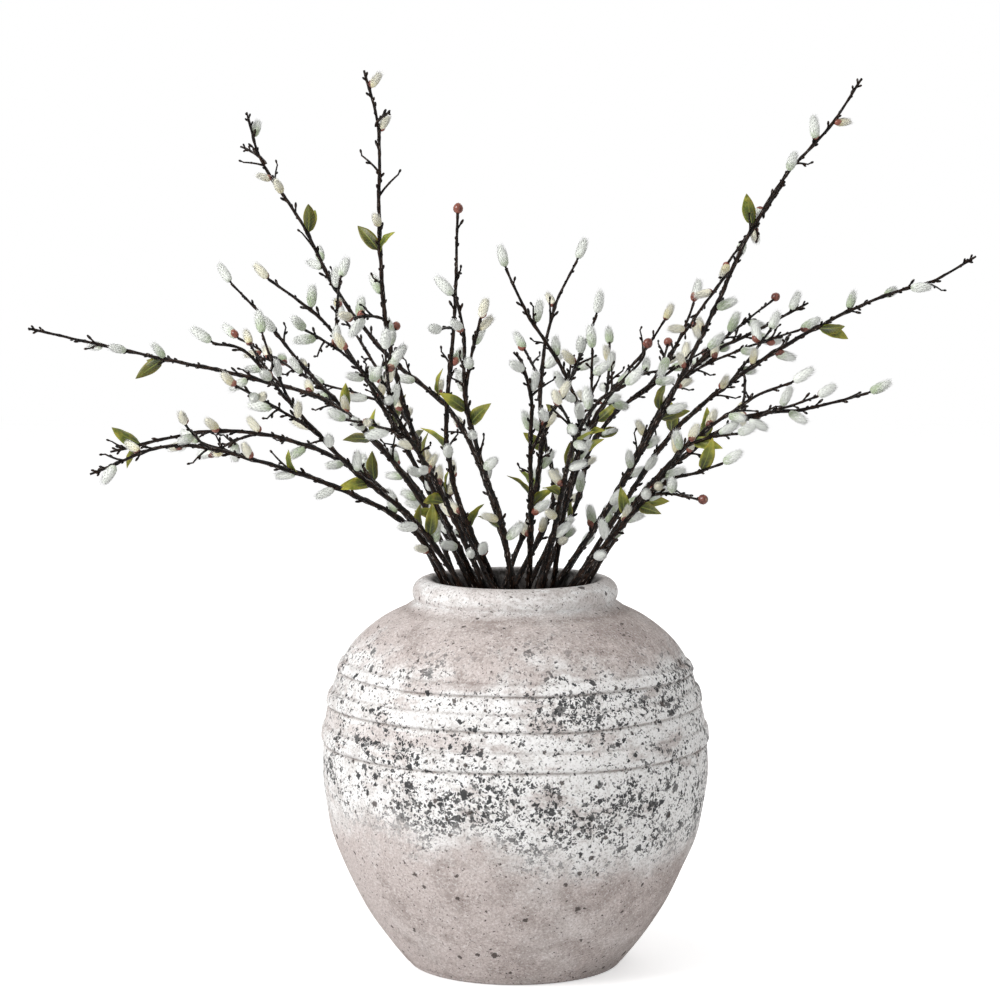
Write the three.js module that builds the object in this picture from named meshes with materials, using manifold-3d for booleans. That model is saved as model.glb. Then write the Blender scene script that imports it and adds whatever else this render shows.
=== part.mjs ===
// Branches in a vase: a wide round jar of rough whitewashed clay, with 26 branches of pussy willow.
// Millimetres, +Z up, origin at the centre of the vase's base, -Y towards the viewer.
import * as THREE from 'three';
import { mergeVertices } from 'three/addons/utils/BufferGeometryUtils.js';
import Module from 'manifold-3d';

const wasm = await Module();
wasm.setup();

// Driving dimensions of the vase
const vaseHeight = 381;
const baseRadius = 97;
const wall = 12;
const floorHeight = 14;
const throatRadius = 75;
const lipRadius = 13;
const vaseSides = 32;
const bandHeight = 2.4;

// Outside of the body from the edge of the base to the foot of the neck: radius, height
const bodyOutline = [
  [109, 6], [139, 46], [158, 81], [175, 120], [185.5, 162], [189, 205],
  [186, 243], [179, 275], [168, 303], [154, 323], [131, 341], [107, 353],
];
// The raised bands: height of the middle, and half of the width
const bands = [[231, 8], [267, 7], [296, 5]];

// Driving dimensions of the branches
const seat = 0.35;
const stemRadius = 3.1;
const tipRadius = 1;
const twigRadius = 1.4;
const twigBend = 0.22;
const taperPower = 0.9;
const footSpread = 0.5;
const middleSpread = 0.55;
const middleHeight = 215;
const straightBelow = 45;
const stemSides = 5;
const twigSides = 4;
const hiddenSteps = 2;
const shownSteps = 8;
const twigSteps = 2;
const mouthHeight = 368;
const outerMouth = 66;

// What grows on the stems: length and width of each kind, and how far it leans off its stem in degrees
const kinds = {
  catkin: { length: 27, width: 11.2, lean: 42 },
  cream: { length: 22, width: 9.8, lean: 46 },
  round: { length: 13, width: 9.4, lean: 50 },
  leaf: { length: 34, width: 12.5, lean: 46 },
};
const catkinSides = 5;
// A leaf's outline: share of its length, and half of its width there as a share of its widest
const leafOutline = [[0, 0], [0.3, 0.36], [0.52, 0.5], [0.78, 0.32], [1, 0]];
const leafThickness = 1;
const leafFold = 2.2;
const leafBow = 0.1;
const leafRoll = [40, 35];
const clearance = 0.5;
const lipClearance = 4;
const firstCatkin = 85;
const stemSpacing = 74;
const twigSpacing = 32;
const bareTip = 26;
const goldenTurn = 137.5;

// Each branch. mouth: where its stem passes the throat of the vase. route: the points that it is led
// through above the vase. end: what its tip carries. twigs: the share of the stem above the throat where
// the twig leaves, where it ends, and what its tip carries. leaves: the share of the stem, and the turn
// round the stem in degrees, with 90 on its upper side.
const branches = [
  {
    mouth: [-56, -35], end: 'bare',
    route: [[-97, -46, 432], [-153, -62, 468], [-229, -85, 499], [-320, -105, 520], [-399, -120, 494]],
    twigs: [[0.6, [-300, -70, 520], 'catkin'], [0.7, [-307, -142, 543], 'cream']],
    leaves: [[0.5, 60], [0.16, 100]],
  },
  {
    mouth: [-66, 4], end: 'bare',
    route: [[-108, 2, 444], [-162, 2, 491], [-227, 0, 518], [-301, -8, 525], [-393, -15, 506]],
    twigs: [[0.62, [-296, 35, 502], 'catkin']],
    leaves: [[0.32, 270], [0.32, 80], [0.92, 250], [0.92, 70]],
  },
  {
    mouth: [-56, 35], end: 'bare',
    route: [[-95, 52, 455], [-173, 66, 541], [-262, 85, 571], [-368, 100, 593], [-490, 110, 620]],
    twigs: [[0.5, [-267, 120, 603], 'cream']],
    leaves: [[0.74, 280], [0.74, 200], [0.3, 70]],
  },
  {
    mouth: [-44, -49], end: 'catkin',
    route: [[-95, -84, 445], [-151, -120, 497], [-205, -160, 560], [-245, -185, 611], [-276, -195, 621]],
    twigs: [[0.72, [-234, -150, 626], 'catkin'], [0.6, [-254, -220, 584], 'cream']],
    leaves: [[0.2, 90], [0.43, 270]],
  },
  {
    mouth: [-44, 49], end: 'catkin',
    route: [[-90, 78, 450], [-164, 105, 530], [-216, 125, 583], [-257, 140, 632], [-288, 145, 664]],
    twigs: [[0.6, [-284, 175, 607], 'catkin']],
    leaves: [[0.45, 270], [0.55, 90]],
  },
  {
    mouth: [-37, 7], end: 'cream',
    route: [[-78, 5, 454], [-117, -10, 529], [-154, -30, 594], [-188, -45, 638], [-235, -60, 675]],
    twigs: [[0.66, [-198, -95, 628], 'catkin'], [0.75, [-169, -10, 674], 'catkin']],
    leaves: [[0.2, 270], [0.47, 90]],
  },
  {
    mouth: [0, 66], end: 'bare',
    route: [
      [-28, 102, 463], [-64, 130, 534], [-127, 150, 588], [-181, 170, 654], [-217, 180, 723],
      [-259, 190, 787], [-275, 195, 838],
    ],
    twigs: [[0.9, [-283, 215, 803], 'bare'], [0.62, [-200, 215, 684], 'catkin']],
    leaves: [[0.75, 150], [0.75, 60], [0.36, 90]],
  },
  {
    mouth: [-33, -19], end: 'bare',
    route: [
      [-67, -50, 443], [-92, -75, 513], [-112, -95, 583], [-123, -110, 649], [-127, -120, 733],
      [-127, -125, 814], [-140, -130, 869],
    ],
    twigs: [[0.9, [-116, -150, 830], 'bare'], [0.55, [-151, -150, 642], 'cream']],
    leaves: [[0.68, 0], [0.68, 190]],
  },
  {
    mouth: [-13, -36], end: 'round',
    route: [[-50, -75, 452], [-64, -105, 516], [-64, -115, 563], [-57, -125, 642], [-54, -130, 737]],
    twigs: [[0.72, [-70, -160, 631], 'catkin']],
    leaves: [[0.42, 180], [0.2, 20]],
  },
  {
    mouth: [0, -66], end: 'bare',
    route: [[-15, -117, 455], [-29, -150, 499], [-46, -195, 569], [-47, -220, 627], [-54, -235, 665]],
    twigs: [[0.7, [-32, -235, 645], 'cream']],
    leaves: [[0.62, 0], [0.66, 190], [0.24, 200]],
  },
  {
    mouth: [12, 0], end: 'catkin',
    route: [
      [45, 30, 435], [64, 35, 499], [62, 32, 546], [42, 25, 592], [13, 15, 637], [-9, 8, 683],
    ],
    twigs: [[0.55, [97, 75, 548], 'catkin']],
    leaves: [[0.4, 90]],
  },
  {
    mouth: [0, 38], end: 'catkin',
    route: [[39, 95, 448], [27, 125, 526], [29, 140, 586], [42, 150, 642], [64, 158, 687]],
    twigs: [[0.62, [11, 165, 595], 'catkin']],
    leaves: [[0.43, 60]],
  },
  {
    mouth: [13, -36], end: 'bare',
    route: [[15, -62, 445], [14, -95, 521], [15, -112, 561], [6, -125, 598], [-2, -128, 609]],
    twigs: [[0.55, [41, -130, 566], 'cream']],
    leaves: [[0.4, 180], [0.36, 0]],
  },
  {
    mouth: [-12, 0], end: 'catkin',
    route: [[18, 18, 451], [29, 8, 523], [54, -15, 577], [74, -32, 629], [78, -35, 640]],
    twigs: [[0.72, [62, -62, 605], 'catkin']],
    leaves: [[0.33, 100], [0.59, 180]],
  },
  {
    mouth: [36, -14], end: 'round',
    route: [[49, -52, 463], [65, -72, 522], [88, -92, 565], [117, -108, 599], [121, -112, 612]],
    twigs: [[0.6, [72, -105, 610], 'catkin']],
    leaves: [[0.6, 270]],
  },
  {
    mouth: [24, 29], end: 'catkin',
    route: [[63, 60, 452], [75, 80, 500], [106, 100, 540], [144, 115, 567], [173, 130, 622], [182, 135, 645]],
    twigs: [[0.7, [157, 160, 600], 'round'], [0.62, [194, 120, 598], 'catkin']],
    leaves: [[0.48, 270], [0.2, 90]],
  },
  {
    mouth: [37, 7], end: 'bare',
    route: [
      [88, 18, 442], [120, 25, 496], [163, 35, 574], [201, 45, 651], [227, 50, 708], [266, 55, 772],
      [310, 58, 821], [341, 60, 868],
    ],
    twigs: [[0.78, [213, 85, 687], 'cream'], [0.6, [148, -15, 599], 'catkin']],
    leaves: [[0.69, 110], [0.33, 250]],
  },
  {
    mouth: [57, 33], end: 'bare',
    route: [
      [104, 50, 441], [159, 70, 519], [236, 90, 581], [315, 105, 627], [376, 112, 654],
      [423, 118, 668], [466, 125, 692],
    ],
    twigs: [[0.45, [259, 130, 617], 'catkin'], [0.5, [224, 40, 541], 'cream']],
    leaves: [[0.67, 270], [0.67, 200], [0.33, 90]],
  },
  {
    mouth: [43, 50], end: 'bare',
    route: [[98, 82, 449], [155, 135, 546], [200, 165, 590], [248, 185, 613], [305, 205, 642]],
    twigs: [[0.62, [270, 225, 644], 'round'], [0.6, [292, 160, 616], 'catkin']],
    leaves: [[0.5, 90], [0.2, 270]],
  },
  {
    mouth: [57, -33], end: 'catkin',
    route: [[108, -55, 451], [165, -85, 520], [203, -105, 551], [229, -115, 569], [258, -120, 580]],
    twigs: [[0.6, [207, -130, 533], 'catkin']],
    leaves: [[0.63, 270], [0.3, 90]],
  },
  {
    mouth: [66, 0], end: 'catkin',
    route: [[122, -5, 458], [176, -15, 511], [227, -28, 542], [279, -35, 549], [339, -42, 565]],
    twigs: [[0.66, [287, -75, 564], 'catkin']],
    leaves: [[0.28, 280], [0.52, 90]],
  },
  {
    mouth: [44, -49], end: 'catkin',
    route: [[97, -92, 438], [136, -140, 486], [169, -170, 501], [189, -185, 510]],
    twigs: [[0.6, [168, -190, 477], 'round'], [0.45, [160, -170, 530], 'cream']],
    leaves: [[0.54, 270], [0.9, 100]],
  },
  {
    mouth: [-24, 61], end: 'catkin',
    route: [[-76, 122, 466], [-123, 180, 543], [-158, 215, 598], [-178, 232, 625]],
    twigs: [[0.6, [-197, 215, 556], 'catkin'], [0.7, [-125, 245, 612], 'round']],
    leaves: [[0.3, 90], [0.5, 200]],
  },
  {
    mouth: [-24, -61], end: 'cream',
    route: [[-66, -118, 469], [-102, -180, 540], [-132, -225, 589], [-153, -245, 617]],
    twigs: [[0.6, [-153, -245, 555], 'catkin'], [0.7, [-116, -270, 619], 'catkin']],
    leaves: [[0.35, 270], [0.5, 90]],
  },
  {
    mouth: [24, -61], end: 'catkin',
    route: [[42, -122, 470], [54, -185, 532], [75, -230, 571], [97, -250, 586]],
    twigs: [[0.65, [39, -240, 568], 'cream']],
    leaves: [[0.4, 200], [0.6, 20]],
  },
  {
    mouth: [24, 61], end: 'cream',
    route: [[62, 127, 475], [99, 190, 547], [137, 235, 591], [159, 255, 622]],
    twigs: [[0.6, [101, 255, 596], 'catkin'], [0.7, [185, 245, 575], 'catkin']],
    leaves: [[0.35, 90], [0.55, 160]],
  },
];

const finishes = {
  vase: new THREE.MeshStandardMaterial({ color: 0xc9c1bb, roughness: 0.92, metalness: 0 }),
  branch: new THREE.MeshStandardMaterial({ color: 0x3a2a24, roughness: 0.6, metalness: 0 }),
};

// A geometry made into a closed solid: its places are merged and faces without area are left out
function toSolid(geometry) {
  const bare = geometry.clone();
  bare.deleteAttribute('normal');
  bare.deleteAttribute('uv');
  const merged = mergeVertices(bare, 1e-3);
  const index = merged.index.array;
  const kept = [];
  for (let i = 0; i < index.length; i += 3) {
    const [a, b, c] = [index[i], index[i + 1], index[i + 2]];
    if (a !== b && b !== c && c !== a) kept.push(a, b, c);
  }
  const vertProperties = new Float32Array(merged.attributes.position.array);
  return new wasm.Manifold(new wasm.Mesh({ numProp: 3, vertProperties, triVerts: new Uint32Array(kept) }));
}

function toGeometry(solid) {
  const mesh = solid.getMesh();
  const geometry = new THREE.BufferGeometry();
  geometry.setAttribute('position', new THREE.BufferAttribute(mesh.vertProperties, 3));
  geometry.setIndex(new THREE.BufferAttribute(mesh.triVerts, 1));
  geometry.computeVertexNormals();
  return geometry;
}

function namedMesh(name, solid, finish) {
  const mesh = new THREE.Mesh(toGeometry(solid), finish.clone());
  mesh.name = name;
  return mesh;
}

// The vase is its outline turned round the upright axis. The inner face is the outer one moved in by
// the wall, and the lip is a round roll.
function makeVase() {
  const outside = new THREE.SplineCurve(bodyOutline.map(([r, z]) => new THREE.Vector2(r, z)));
  const bandRise = (z) => bands.reduce(
    (rise, [middle, half]) => rise + bandHeight * Math.exp(-(((z - middle) / half) ** 4)), 0);
  const outline = [new THREE.Vector2(0, 0), new THREE.Vector2(baseRadius, 0)];
  const bandEdges = bands.flatMap(([middle, half]) => [-1.2, -0.6, 0.6, 1.2].map((k) => middle + k * half));
  const heights = [6, 24, 60, 105, 155, 200, ...bandEdges, 318, 334, 346, 353];
  const radiusAt = (z) => {
    let [low, high] = [0, 1];
    for (let i = 0; i < 40; i += 1) {
      const middle = (low + high) / 2;
      if (outside.getPoint(middle).y < z) low = middle;
      else high = middle;
    }
    return outside.getPoint(low).x;
  };
  heights.forEach((z) => outline.push(new THREE.Vector2(radiusAt(z) + bandRise(z), z)));
  const lipMiddle = new THREE.Vector2(throatRadius + lipRadius, vaseHeight - lipRadius);
  const lipTurns = [-38, 5, 48, 90, 135, 180];
  lipTurns.forEach((degrees) => {
    const turn = THREE.MathUtils.degToRad(degrees);
    outline.push(new THREE.Vector2(
      lipMiddle.x + lipRadius * Math.cos(turn), lipMiddle.y + lipRadius * Math.sin(turn)));
  });
  outline.push(new THREE.Vector2(throatRadius + 1, vaseHeight - 32));
  [334, 292, 215, 120, 40].forEach((z) => {
    outline.push(new THREE.Vector2(radiusAt(z) - wall, z));
  });
  outline.push(new THREE.Vector2(baseRadius - 4, floorHeight), new THREE.Vector2(0, floorHeight));
  const turned = new THREE.LatheGeometry(outline, vaseSides);
  turned.rotateX(Math.PI / 2);
  return toSolid(turned);
}

// A row of points spaced evenly along another row
function spaced(points, steps) {
  const reach = [0];
  for (let i = 1; i < points.length; i += 1) reach.push(reach[i - 1] + points[i].distanceTo(points[i - 1]));
  const row = [];
  let k = 0;
  for (let i = 0; i <= steps; i += 1) {
    const along = (reach[reach.length - 1] * i) / steps;
    while (k < points.length - 2 && reach[k + 1] < along) k += 1;
    const share = (along - reach[k]) / (reach[k + 1] - reach[k]);
    row.push(new THREE.Vector3().lerpVectors(points[k], points[k + 1], Math.min(share, 1)));
  }
  return row;
}

function lengthOf(points) {
  return points.slice(1).reduce((sum, point, i) => sum + point.distanceTo(points[i]), 0);
}

// The point at a distance along a row of points, and the way that the row runs there
function alongRow(points, distance) {
  let left = distance;
  for (let i = 1; i < points.length; i += 1) {
    const step = points[i].distanceTo(points[i - 1]);
    if (left <= step || i === points.length - 1) {
      const way = points[i].clone().sub(points[i - 1]).normalize();
      return { place: points[i - 1].clone().addScaledVector(way, left), way };
    }
    left -= step;
  }
  return null;
}

// A stem stands upright on the floor of the vase, flares to its place in the throat and follows its route.
// It comes up to the throat already leaning the way that it goes on, the more the further out it stands.
// A twig leaves its stem along it and bends over to its own end.
function shootsOf(branch) {
  const [x, y] = branch.mouth;
  const throat = new THREE.Vector3(x, y, mouthHeight);
  const route = branch.route.map((point) => new THREE.Vector3(...point));
  const outwards = Math.hypot(x, y) / outerMouth;
  const lean = route[0].clone().sub(throat).normalize().multiply(new THREE.Vector3(outwards, outwards, 1));
  const spread = [
    [footSpread, floorHeight + seat], [footSpread, floorHeight + 40], [middleSpread, middleHeight],
  ];
  const led = [
    ...spread.map(([k, z]) => new THREE.Vector3(x * k, y * k, z)),
    throat.clone().addScaledVector(lean, -straightBelow), throat, ...route,
  ];
  const curve = new THREE.CatmullRomCurve3(led, false, 'catmullrom', 0.5);
  const fine = curve.getPoints(240);
  const cut = fine.findIndex((point) => point.z > mouthHeight);
  const shown = spaced(fine.slice(cut), shownSteps);
  const hidden = spaced(fine.slice(0, cut + 1), hiddenSteps);
  const shownLength = lengthOf(shown);
  const taper = (share) => tipRadius + (stemRadius - tipRadius) * (1 - share) ** taperPower;
  const stem = {
    points: [...hidden.slice(0, -1), ...shown],
    radii: [...hidden.slice(0, -1).map(() => stemRadius), ...shown.map((_, i) => taper(i / shownSteps))],
    shown, first: firstCatkin, spacing: stemSpacing, sides: stemSides, end: branch.end,
  };
  const twigs = branch.twigs.map(([share, end, carries]) => {
    const { place, way } = alongRow(shown, share * shownLength);
    const tip = new THREE.Vector3(...end);
    const bend = place.clone().addScaledVector(way, twigBend * tip.distanceTo(place));
    const points = spaced(new THREE.QuadraticBezierCurve3(place, bend, tip).getPoints(24), twigSteps);
    const radii = points.map((_, i) => twigRadius + ((tipRadius - twigRadius) * i) / twigSteps);
    return {
      points, radii, shown: points, first: twigSpacing, spacing: twigSpacing, sides: twigSides, end: carries,
    };
  });
  return [stem, ...twigs];
}

// Two directions square to a way: the first level with the ground, the second on the upper side
function sidesOf(way, bearing) {
  const level = new THREE.Vector3(-Math.sin(bearing), Math.cos(bearing), 0);
  const first = level.addScaledVector(way, -level.dot(way)).normalize();
  return [first, way.clone().cross(first)];
}

// Draws that repeat: the fractional part of a multiple of an irrational number
const draw = (seed, multiple) => (seed * multiple) % 1;

// A thing that grows at a place on a shoot, leaning off it by its kind's angle, turned round it, and
// rolled about its own length
function growthAt(kind, place, way, bearing, turn, size, lean, roll) {
  const [first, second] = sidesOf(way, bearing);
  const round = THREE.MathUtils.degToRad(turn);
  const tilt = THREE.MathUtils.degToRad(lean);
  const side = first.multiplyScalar(Math.cos(round)).addScaledVector(second, Math.sin(round));
  const aim = way.clone().multiplyScalar(Math.cos(tilt)).addScaledVector(side, Math.sin(tilt)).normalize();
  const across = way.clone().cross(side).normalize().applyAxisAngle(aim, THREE.MathUtils.degToRad(roll));
  const { length, width } = kinds[kind];
  return { kind, place, aim, side: across, length: length * size, width: width * size };
}

// Closest distance of two straight stretches
function stretchDistance(a, b, c, d) {
  const [u, v, w] = [b.clone().sub(a), d.clone().sub(c), a.clone().sub(c)];
  const [uu, vv, uv, uw, vw] = [u.dot(u), v.dot(v), u.dot(v), u.dot(w), v.dot(w)];
  const spread = uu * vv - uv * uv;
  let s = spread > 1e-9 ? THREE.MathUtils.clamp((uv * vw - uw * vv) / spread, 0, 1) : 0;
  const t = THREE.MathUtils.clamp((uv * s + vw) / vv, 0, 1);
  s = THREE.MathUtils.clamp((uv * t - uw) / uu, 0, 1);
  return a.clone().addScaledVector(u, s).distanceTo(c.clone().addScaledVector(v, t));
}

// True where a growth keeps clear of the lip, of every other branch's shoots and of what they carry
function isClear(growth, owner, shoots, grown) {
  const tip = growth.place.clone().addScaledVector(growth.aim, growth.length);
  if (Math.min(tip.z, growth.place.z) - growth.width / 2 < vaseHeight + lipClearance) return false;
  const reach = growth.width / 2 + clearance;
  const hitsShoot = shoots.some((shoot) => shoot.owner !== owner && shoot.points.slice(1).some((point, i) => (
    stretchDistance(growth.place, tip, shoot.points[i], point) < reach + shoot.radii[i])));
  if (hitsShoot) return false;
  return !grown.some((other) => other.owner !== owner
    && stretchDistance(growth.place, tip, other.place, other.tip) < reach + other.width / 2);
}

// Everything that grows on the branches. Leaves and the tips' own growths come first, then catkins by
// the golden turn. One that would touch another branch is turned round its stem, or left out.
function growAll(shoots) {
  const grown = [];
  const tries = [0, 40, -40, 80, -80, 130, 180];
  const add = (owner, kind, at, bearing, turn, size, lean = kinds[kind].lean, roll = 0) => {
    for (const change of tries) {
      const growth = growthAt(kind, at.place, at.way, bearing, turn + change, size, lean, roll);
      if (isClear(growth, owner, shoots, grown)) {
        growth.owner = owner;
        growth.tip = growth.place.clone().addScaledVector(growth.aim, growth.length);
        grown.push(growth);
        return;
      }
    }
  };
  shoots.forEach((shoot) => {
    const length = lengthOf(shoot.shown);
    if (shoot.end !== 'bare') {
      add(shoot.owner, shoot.end, alongRow(shoot.shown, length - 2), shoot.bearing, 90, 1, 8);
    }
    shoot.leaves.forEach(([share, turn], i) => {
      const size = 0.85 + 0.25 * draw(i + shoot.seed, 0.618034);
      const roll = (leafRoll[0] + leafRoll[1] * draw(i + shoot.seed, 0.754878)) * (i % 2 ? -1 : 1);
      const at = alongRow(shoot.shown, share * length);
      add(shoot.owner, 'leaf', at, shoot.bearing, turn, size, kinds.leaf.lean, roll);
    });
  });
  shoots.forEach((shoot) => {
    const length = lengthOf(shoot.shown);
    const stop = length - (shoot.end === 'bare' ? bareTip : shoot.spacing * 0.7);
    let count = 0;
    for (let along = shoot.first; along < stop; along += shoot.spacing) {
      count += 1;
      const seed = shoot.seed + count;
      const kind = draw(seed, 0.754878) < 0.3 ? 'cream' : 'catkin';
      const size = 0.86 + 0.2 * draw(seed, 0.56984);
      const at = alongRow(shoot.shown, along + shoot.spacing * 0.3 * draw(seed, 0.618034));
      add(shoot.owner, kind, at, shoot.bearing, seed * goldenTurn, size);
    }
  });
  return grown;
}

// A rod of a changing radius along a row of points: a cylinder whose rings are set square to the row
function rodSolid(points, radii, sides, bearing) {
  const steps = points.length - 1;
  const rod = new THREE.CylinderGeometry(1, 1, 1, sides, steps);
  const place = rod.attributes.position;
  for (let i = 0; i < place.count; i += 1) {
    const ring = Math.round((place.getY(i) + 0.5) * steps);
    const before = points[Math.max(ring - 1, 0)];
    const after = points[Math.min(ring + 1, steps)];
    const way = after.clone().sub(before).normalize();
    const [first, second] = sidesOf(way, bearing);
    const spot = points[ring].clone()
      .addScaledVector(first, place.getZ(i) * radii[ring])
      .addScaledVector(second, place.getX(i) * radii[ring]);
    place.setXYZ(i, spot.x, spot.y, spot.z);
  }
  return toSolid(rod);
}

// A growth stands on its stem's middle line: catkins and buds are turned outlines, and a leaf is a
// folded blade with a sharp edge all round
function growthSolid(growth) {
  const { length, width } = growth;
  let shape;
  if (growth.kind === 'leaf') {
    const rings = leafOutline.length - 1;
    shape = new THREE.CylinderGeometry(1, 1, 1, 4, rings);
    const place = shape.attributes.position;
    for (let i = 0; i < place.count; i += 1) {
      const ring = Math.round((place.getY(i) + 0.5) * rings);
      const [along, half] = leafOutline[ring];
      const across = Math.round(place.getX(i));
      const up = Math.round(place.getZ(i));
      const edge = Math.abs(across) * leafFold * half * 2;
      const height = half > 0 ? edge + (up * leafThickness) / 2 : 0;
      const bow = leafBow * length * Math.sin(Math.PI * along);
      place.setXYZ(i, across * half * width, along * length, height + bow);
    }
  } else {
    const rings = growth.kind === 'round'
      ? [[0, 0], [0.42, 0.34], [0.48, 0.72], [0, 1]]
      : [[0, 0], [0.45, 0.48], [0.43, 0.74], [0, 1]];
    shape = new THREE.LatheGeometry(rings.map(([r, y]) => new THREE.Vector2(r * width, y * length)), catkinSides);
  }
  const third = growth.side.clone().cross(growth.aim);
  const frame = new THREE.Matrix4().makeBasis(growth.side, growth.aim, third);
  frame.setPosition(growth.place);
  shape.applyMatrix4(frame);
  return toSolid(shape);
}

const group = new THREE.Group();
group.add(namedMesh('vase', makeVase(), finishes.vase));

const shoots = branches.flatMap((branch, owner) => {
  const made = shootsOf(branch);
  const tip = made[0].points[made[0].points.length - 1];
  const bearing = Math.atan2(tip.y - branch.mouth[1], tip.x - branch.mouth[0]);
  return made.map((shoot, i) => ({
    ...shoot, owner, bearing, seed: owner * 37 + i * 11, leaves: i === 0 ? branch.leaves : [],
  }));
});
const grown = growAll(shoots);

branches.forEach((branch, owner) => {
  const rods = shoots.filter((shoot) => shoot.owner === owner)
    .map((shoot) => rodSolid(shoot.points, shoot.radii, shoot.sides, shoot.bearing));
  const growths = grown.filter((growth) => growth.owner === owner).map(growthSolid);
  const solid = [...rods, ...growths].reduce((sum, next) => sum.add(next));
  group.add(namedMesh(`branch_${String(owner + 1).padStart(2, '0')}`, solid, finishes.branch));
});

export default group;
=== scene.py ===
# Branches in a vase: a weathered, whitewashed clay jar that holds a loose spray of pussy willow.
# The tables give millimetres, as the solids do; every mesh is in metres.
import bpy
import numpy as np
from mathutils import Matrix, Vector


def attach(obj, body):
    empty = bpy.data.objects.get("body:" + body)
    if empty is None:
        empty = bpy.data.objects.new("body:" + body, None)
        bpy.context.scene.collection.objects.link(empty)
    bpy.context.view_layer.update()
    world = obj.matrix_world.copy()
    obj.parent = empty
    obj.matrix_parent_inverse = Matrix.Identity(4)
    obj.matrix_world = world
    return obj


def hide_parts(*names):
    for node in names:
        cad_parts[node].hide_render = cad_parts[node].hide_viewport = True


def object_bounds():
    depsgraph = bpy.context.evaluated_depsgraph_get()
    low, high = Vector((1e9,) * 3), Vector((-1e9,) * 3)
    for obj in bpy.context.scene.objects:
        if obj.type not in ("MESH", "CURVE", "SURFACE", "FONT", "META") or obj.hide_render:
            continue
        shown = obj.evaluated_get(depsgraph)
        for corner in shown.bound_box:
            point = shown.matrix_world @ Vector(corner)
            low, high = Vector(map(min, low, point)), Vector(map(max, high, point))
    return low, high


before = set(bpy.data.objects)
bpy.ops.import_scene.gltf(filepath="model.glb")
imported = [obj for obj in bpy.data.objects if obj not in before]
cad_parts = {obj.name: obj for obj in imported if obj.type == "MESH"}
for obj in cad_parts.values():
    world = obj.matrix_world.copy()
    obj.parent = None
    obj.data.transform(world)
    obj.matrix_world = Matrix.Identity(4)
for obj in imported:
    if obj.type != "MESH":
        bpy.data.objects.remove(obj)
cadBox = [list(corner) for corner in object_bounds()]
mm = 0.001
goldenTurn = 137.5
# Steps for the draws, which spread evenly over 0 to 1
golden, plastic, plasticSquare = 0.618034, 0.754878, 0.56984
goldenSquare, silverStep, smallStep = 0.3819, 0.414214, 0.0618
print("frame loaded:", len(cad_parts), "nodes")

# Camera first, at the photograph's viewing angle
viewSet = {"place": (-0.01465, -3.0, 0.765), "aim": (-0.01465, 0.0, 0.4575), "lens": 111.1}


def makeCamera():
    data = bpy.data.cameras.new("camera")
    data.lens = viewSet["lens"]
    data.sensor_width = 36.0
    camera = bpy.data.objects.new("camera", data)
    camera.location = viewSet["place"]
    line = Vector(viewSet["aim"]) - Vector(viewSet["place"])
    camera.rotation_euler = line.to_track_quat("-Z", "Y").to_euler()
    bpy.context.scene.collection.objects.link(camera)
    bpy.context.scene.camera = camera


makeCamera()

# How the stems run. mouthHeight is the throat of the vase, where a stem's own place in the bunch is given.
stemSet = {
    "floor": 14, "seat": 0.35, "upright": 40, "footSpread": 0.5, "middle": (0.55, 215),
    "straightBelow": 45, "outerMouth": 66, "mouthHeight": 368,
    "stemRadius": 3.1, "tipRadius": 1.0, "taperPower": 0.9, "twigRadius": 1.4, "twigBend": 0.22,
    "hiddenSteps": 2, "shownSteps": 8, "twigSteps": 2,   # the solids' steps, which set what grows where
    "lineSteps": 240, "twigLineSteps": 24, "stemSeed": 37, "twigSeed": 11,
    "fineHidden": 8, "fineShown": 150, "fineTwig": 40, "stemSides": 11, "twigSides": 8,
    "zigzag": 24, "wave": 6.3, "flute": 0.04, "knots": 80,
    # how much a stem swells and how far along, in mm: where a catkin, bud or leaf grows, a spur, a knot
    "swells": [(0.3, 4.0), (0.22, 2.6), (0.1, 2.0)],
    "slimmer": (0.84, 1.04), "sway": 0.26,   # slimmer: of the solids' corner radius, at mouth and tip
}

# What grows on the stems: length and width of each kind, and how far it leans off its stem in degrees
growthSet = {
    "catkin": {"length": 27, "width": 11.2, "lean": 42},
    "cream": {"length": 22, "width": 9.8, "lean": 46},
    "round": {"length": 13, "width": 9.4, "lean": 50},
    "leaf": {"length": 34, "width": 12.5, "lean": 46},
}
spacingSet = {
    "clearance": 0.5, "lipHeight": 385, "firstCatkin": 85, "stemSpacing": 74, "twigSpacing": 32,
    "bareTip": 26, "tries": (0, 40, -40, 80, -80, 130, 180),
    # the share of the places between catkins that hold an extra one, which only the scene has, and the
    # share on a stem's first lowReach above the throat
    "extraShare": 0.38, "lowShare": 0.85, "lowReach": 200, "extraSeed": 517,
    "tipInset": 2, "tipLean": 8, "stopBefore": 0.7, "scatter": 0.3, "creamShare": 0.3,
    # the least, and what a draw adds
    "catkinSize": (0.86, 0.2), "leafSize": (0.85, 0.25), "leafRoll": (40, 35),
}

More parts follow.
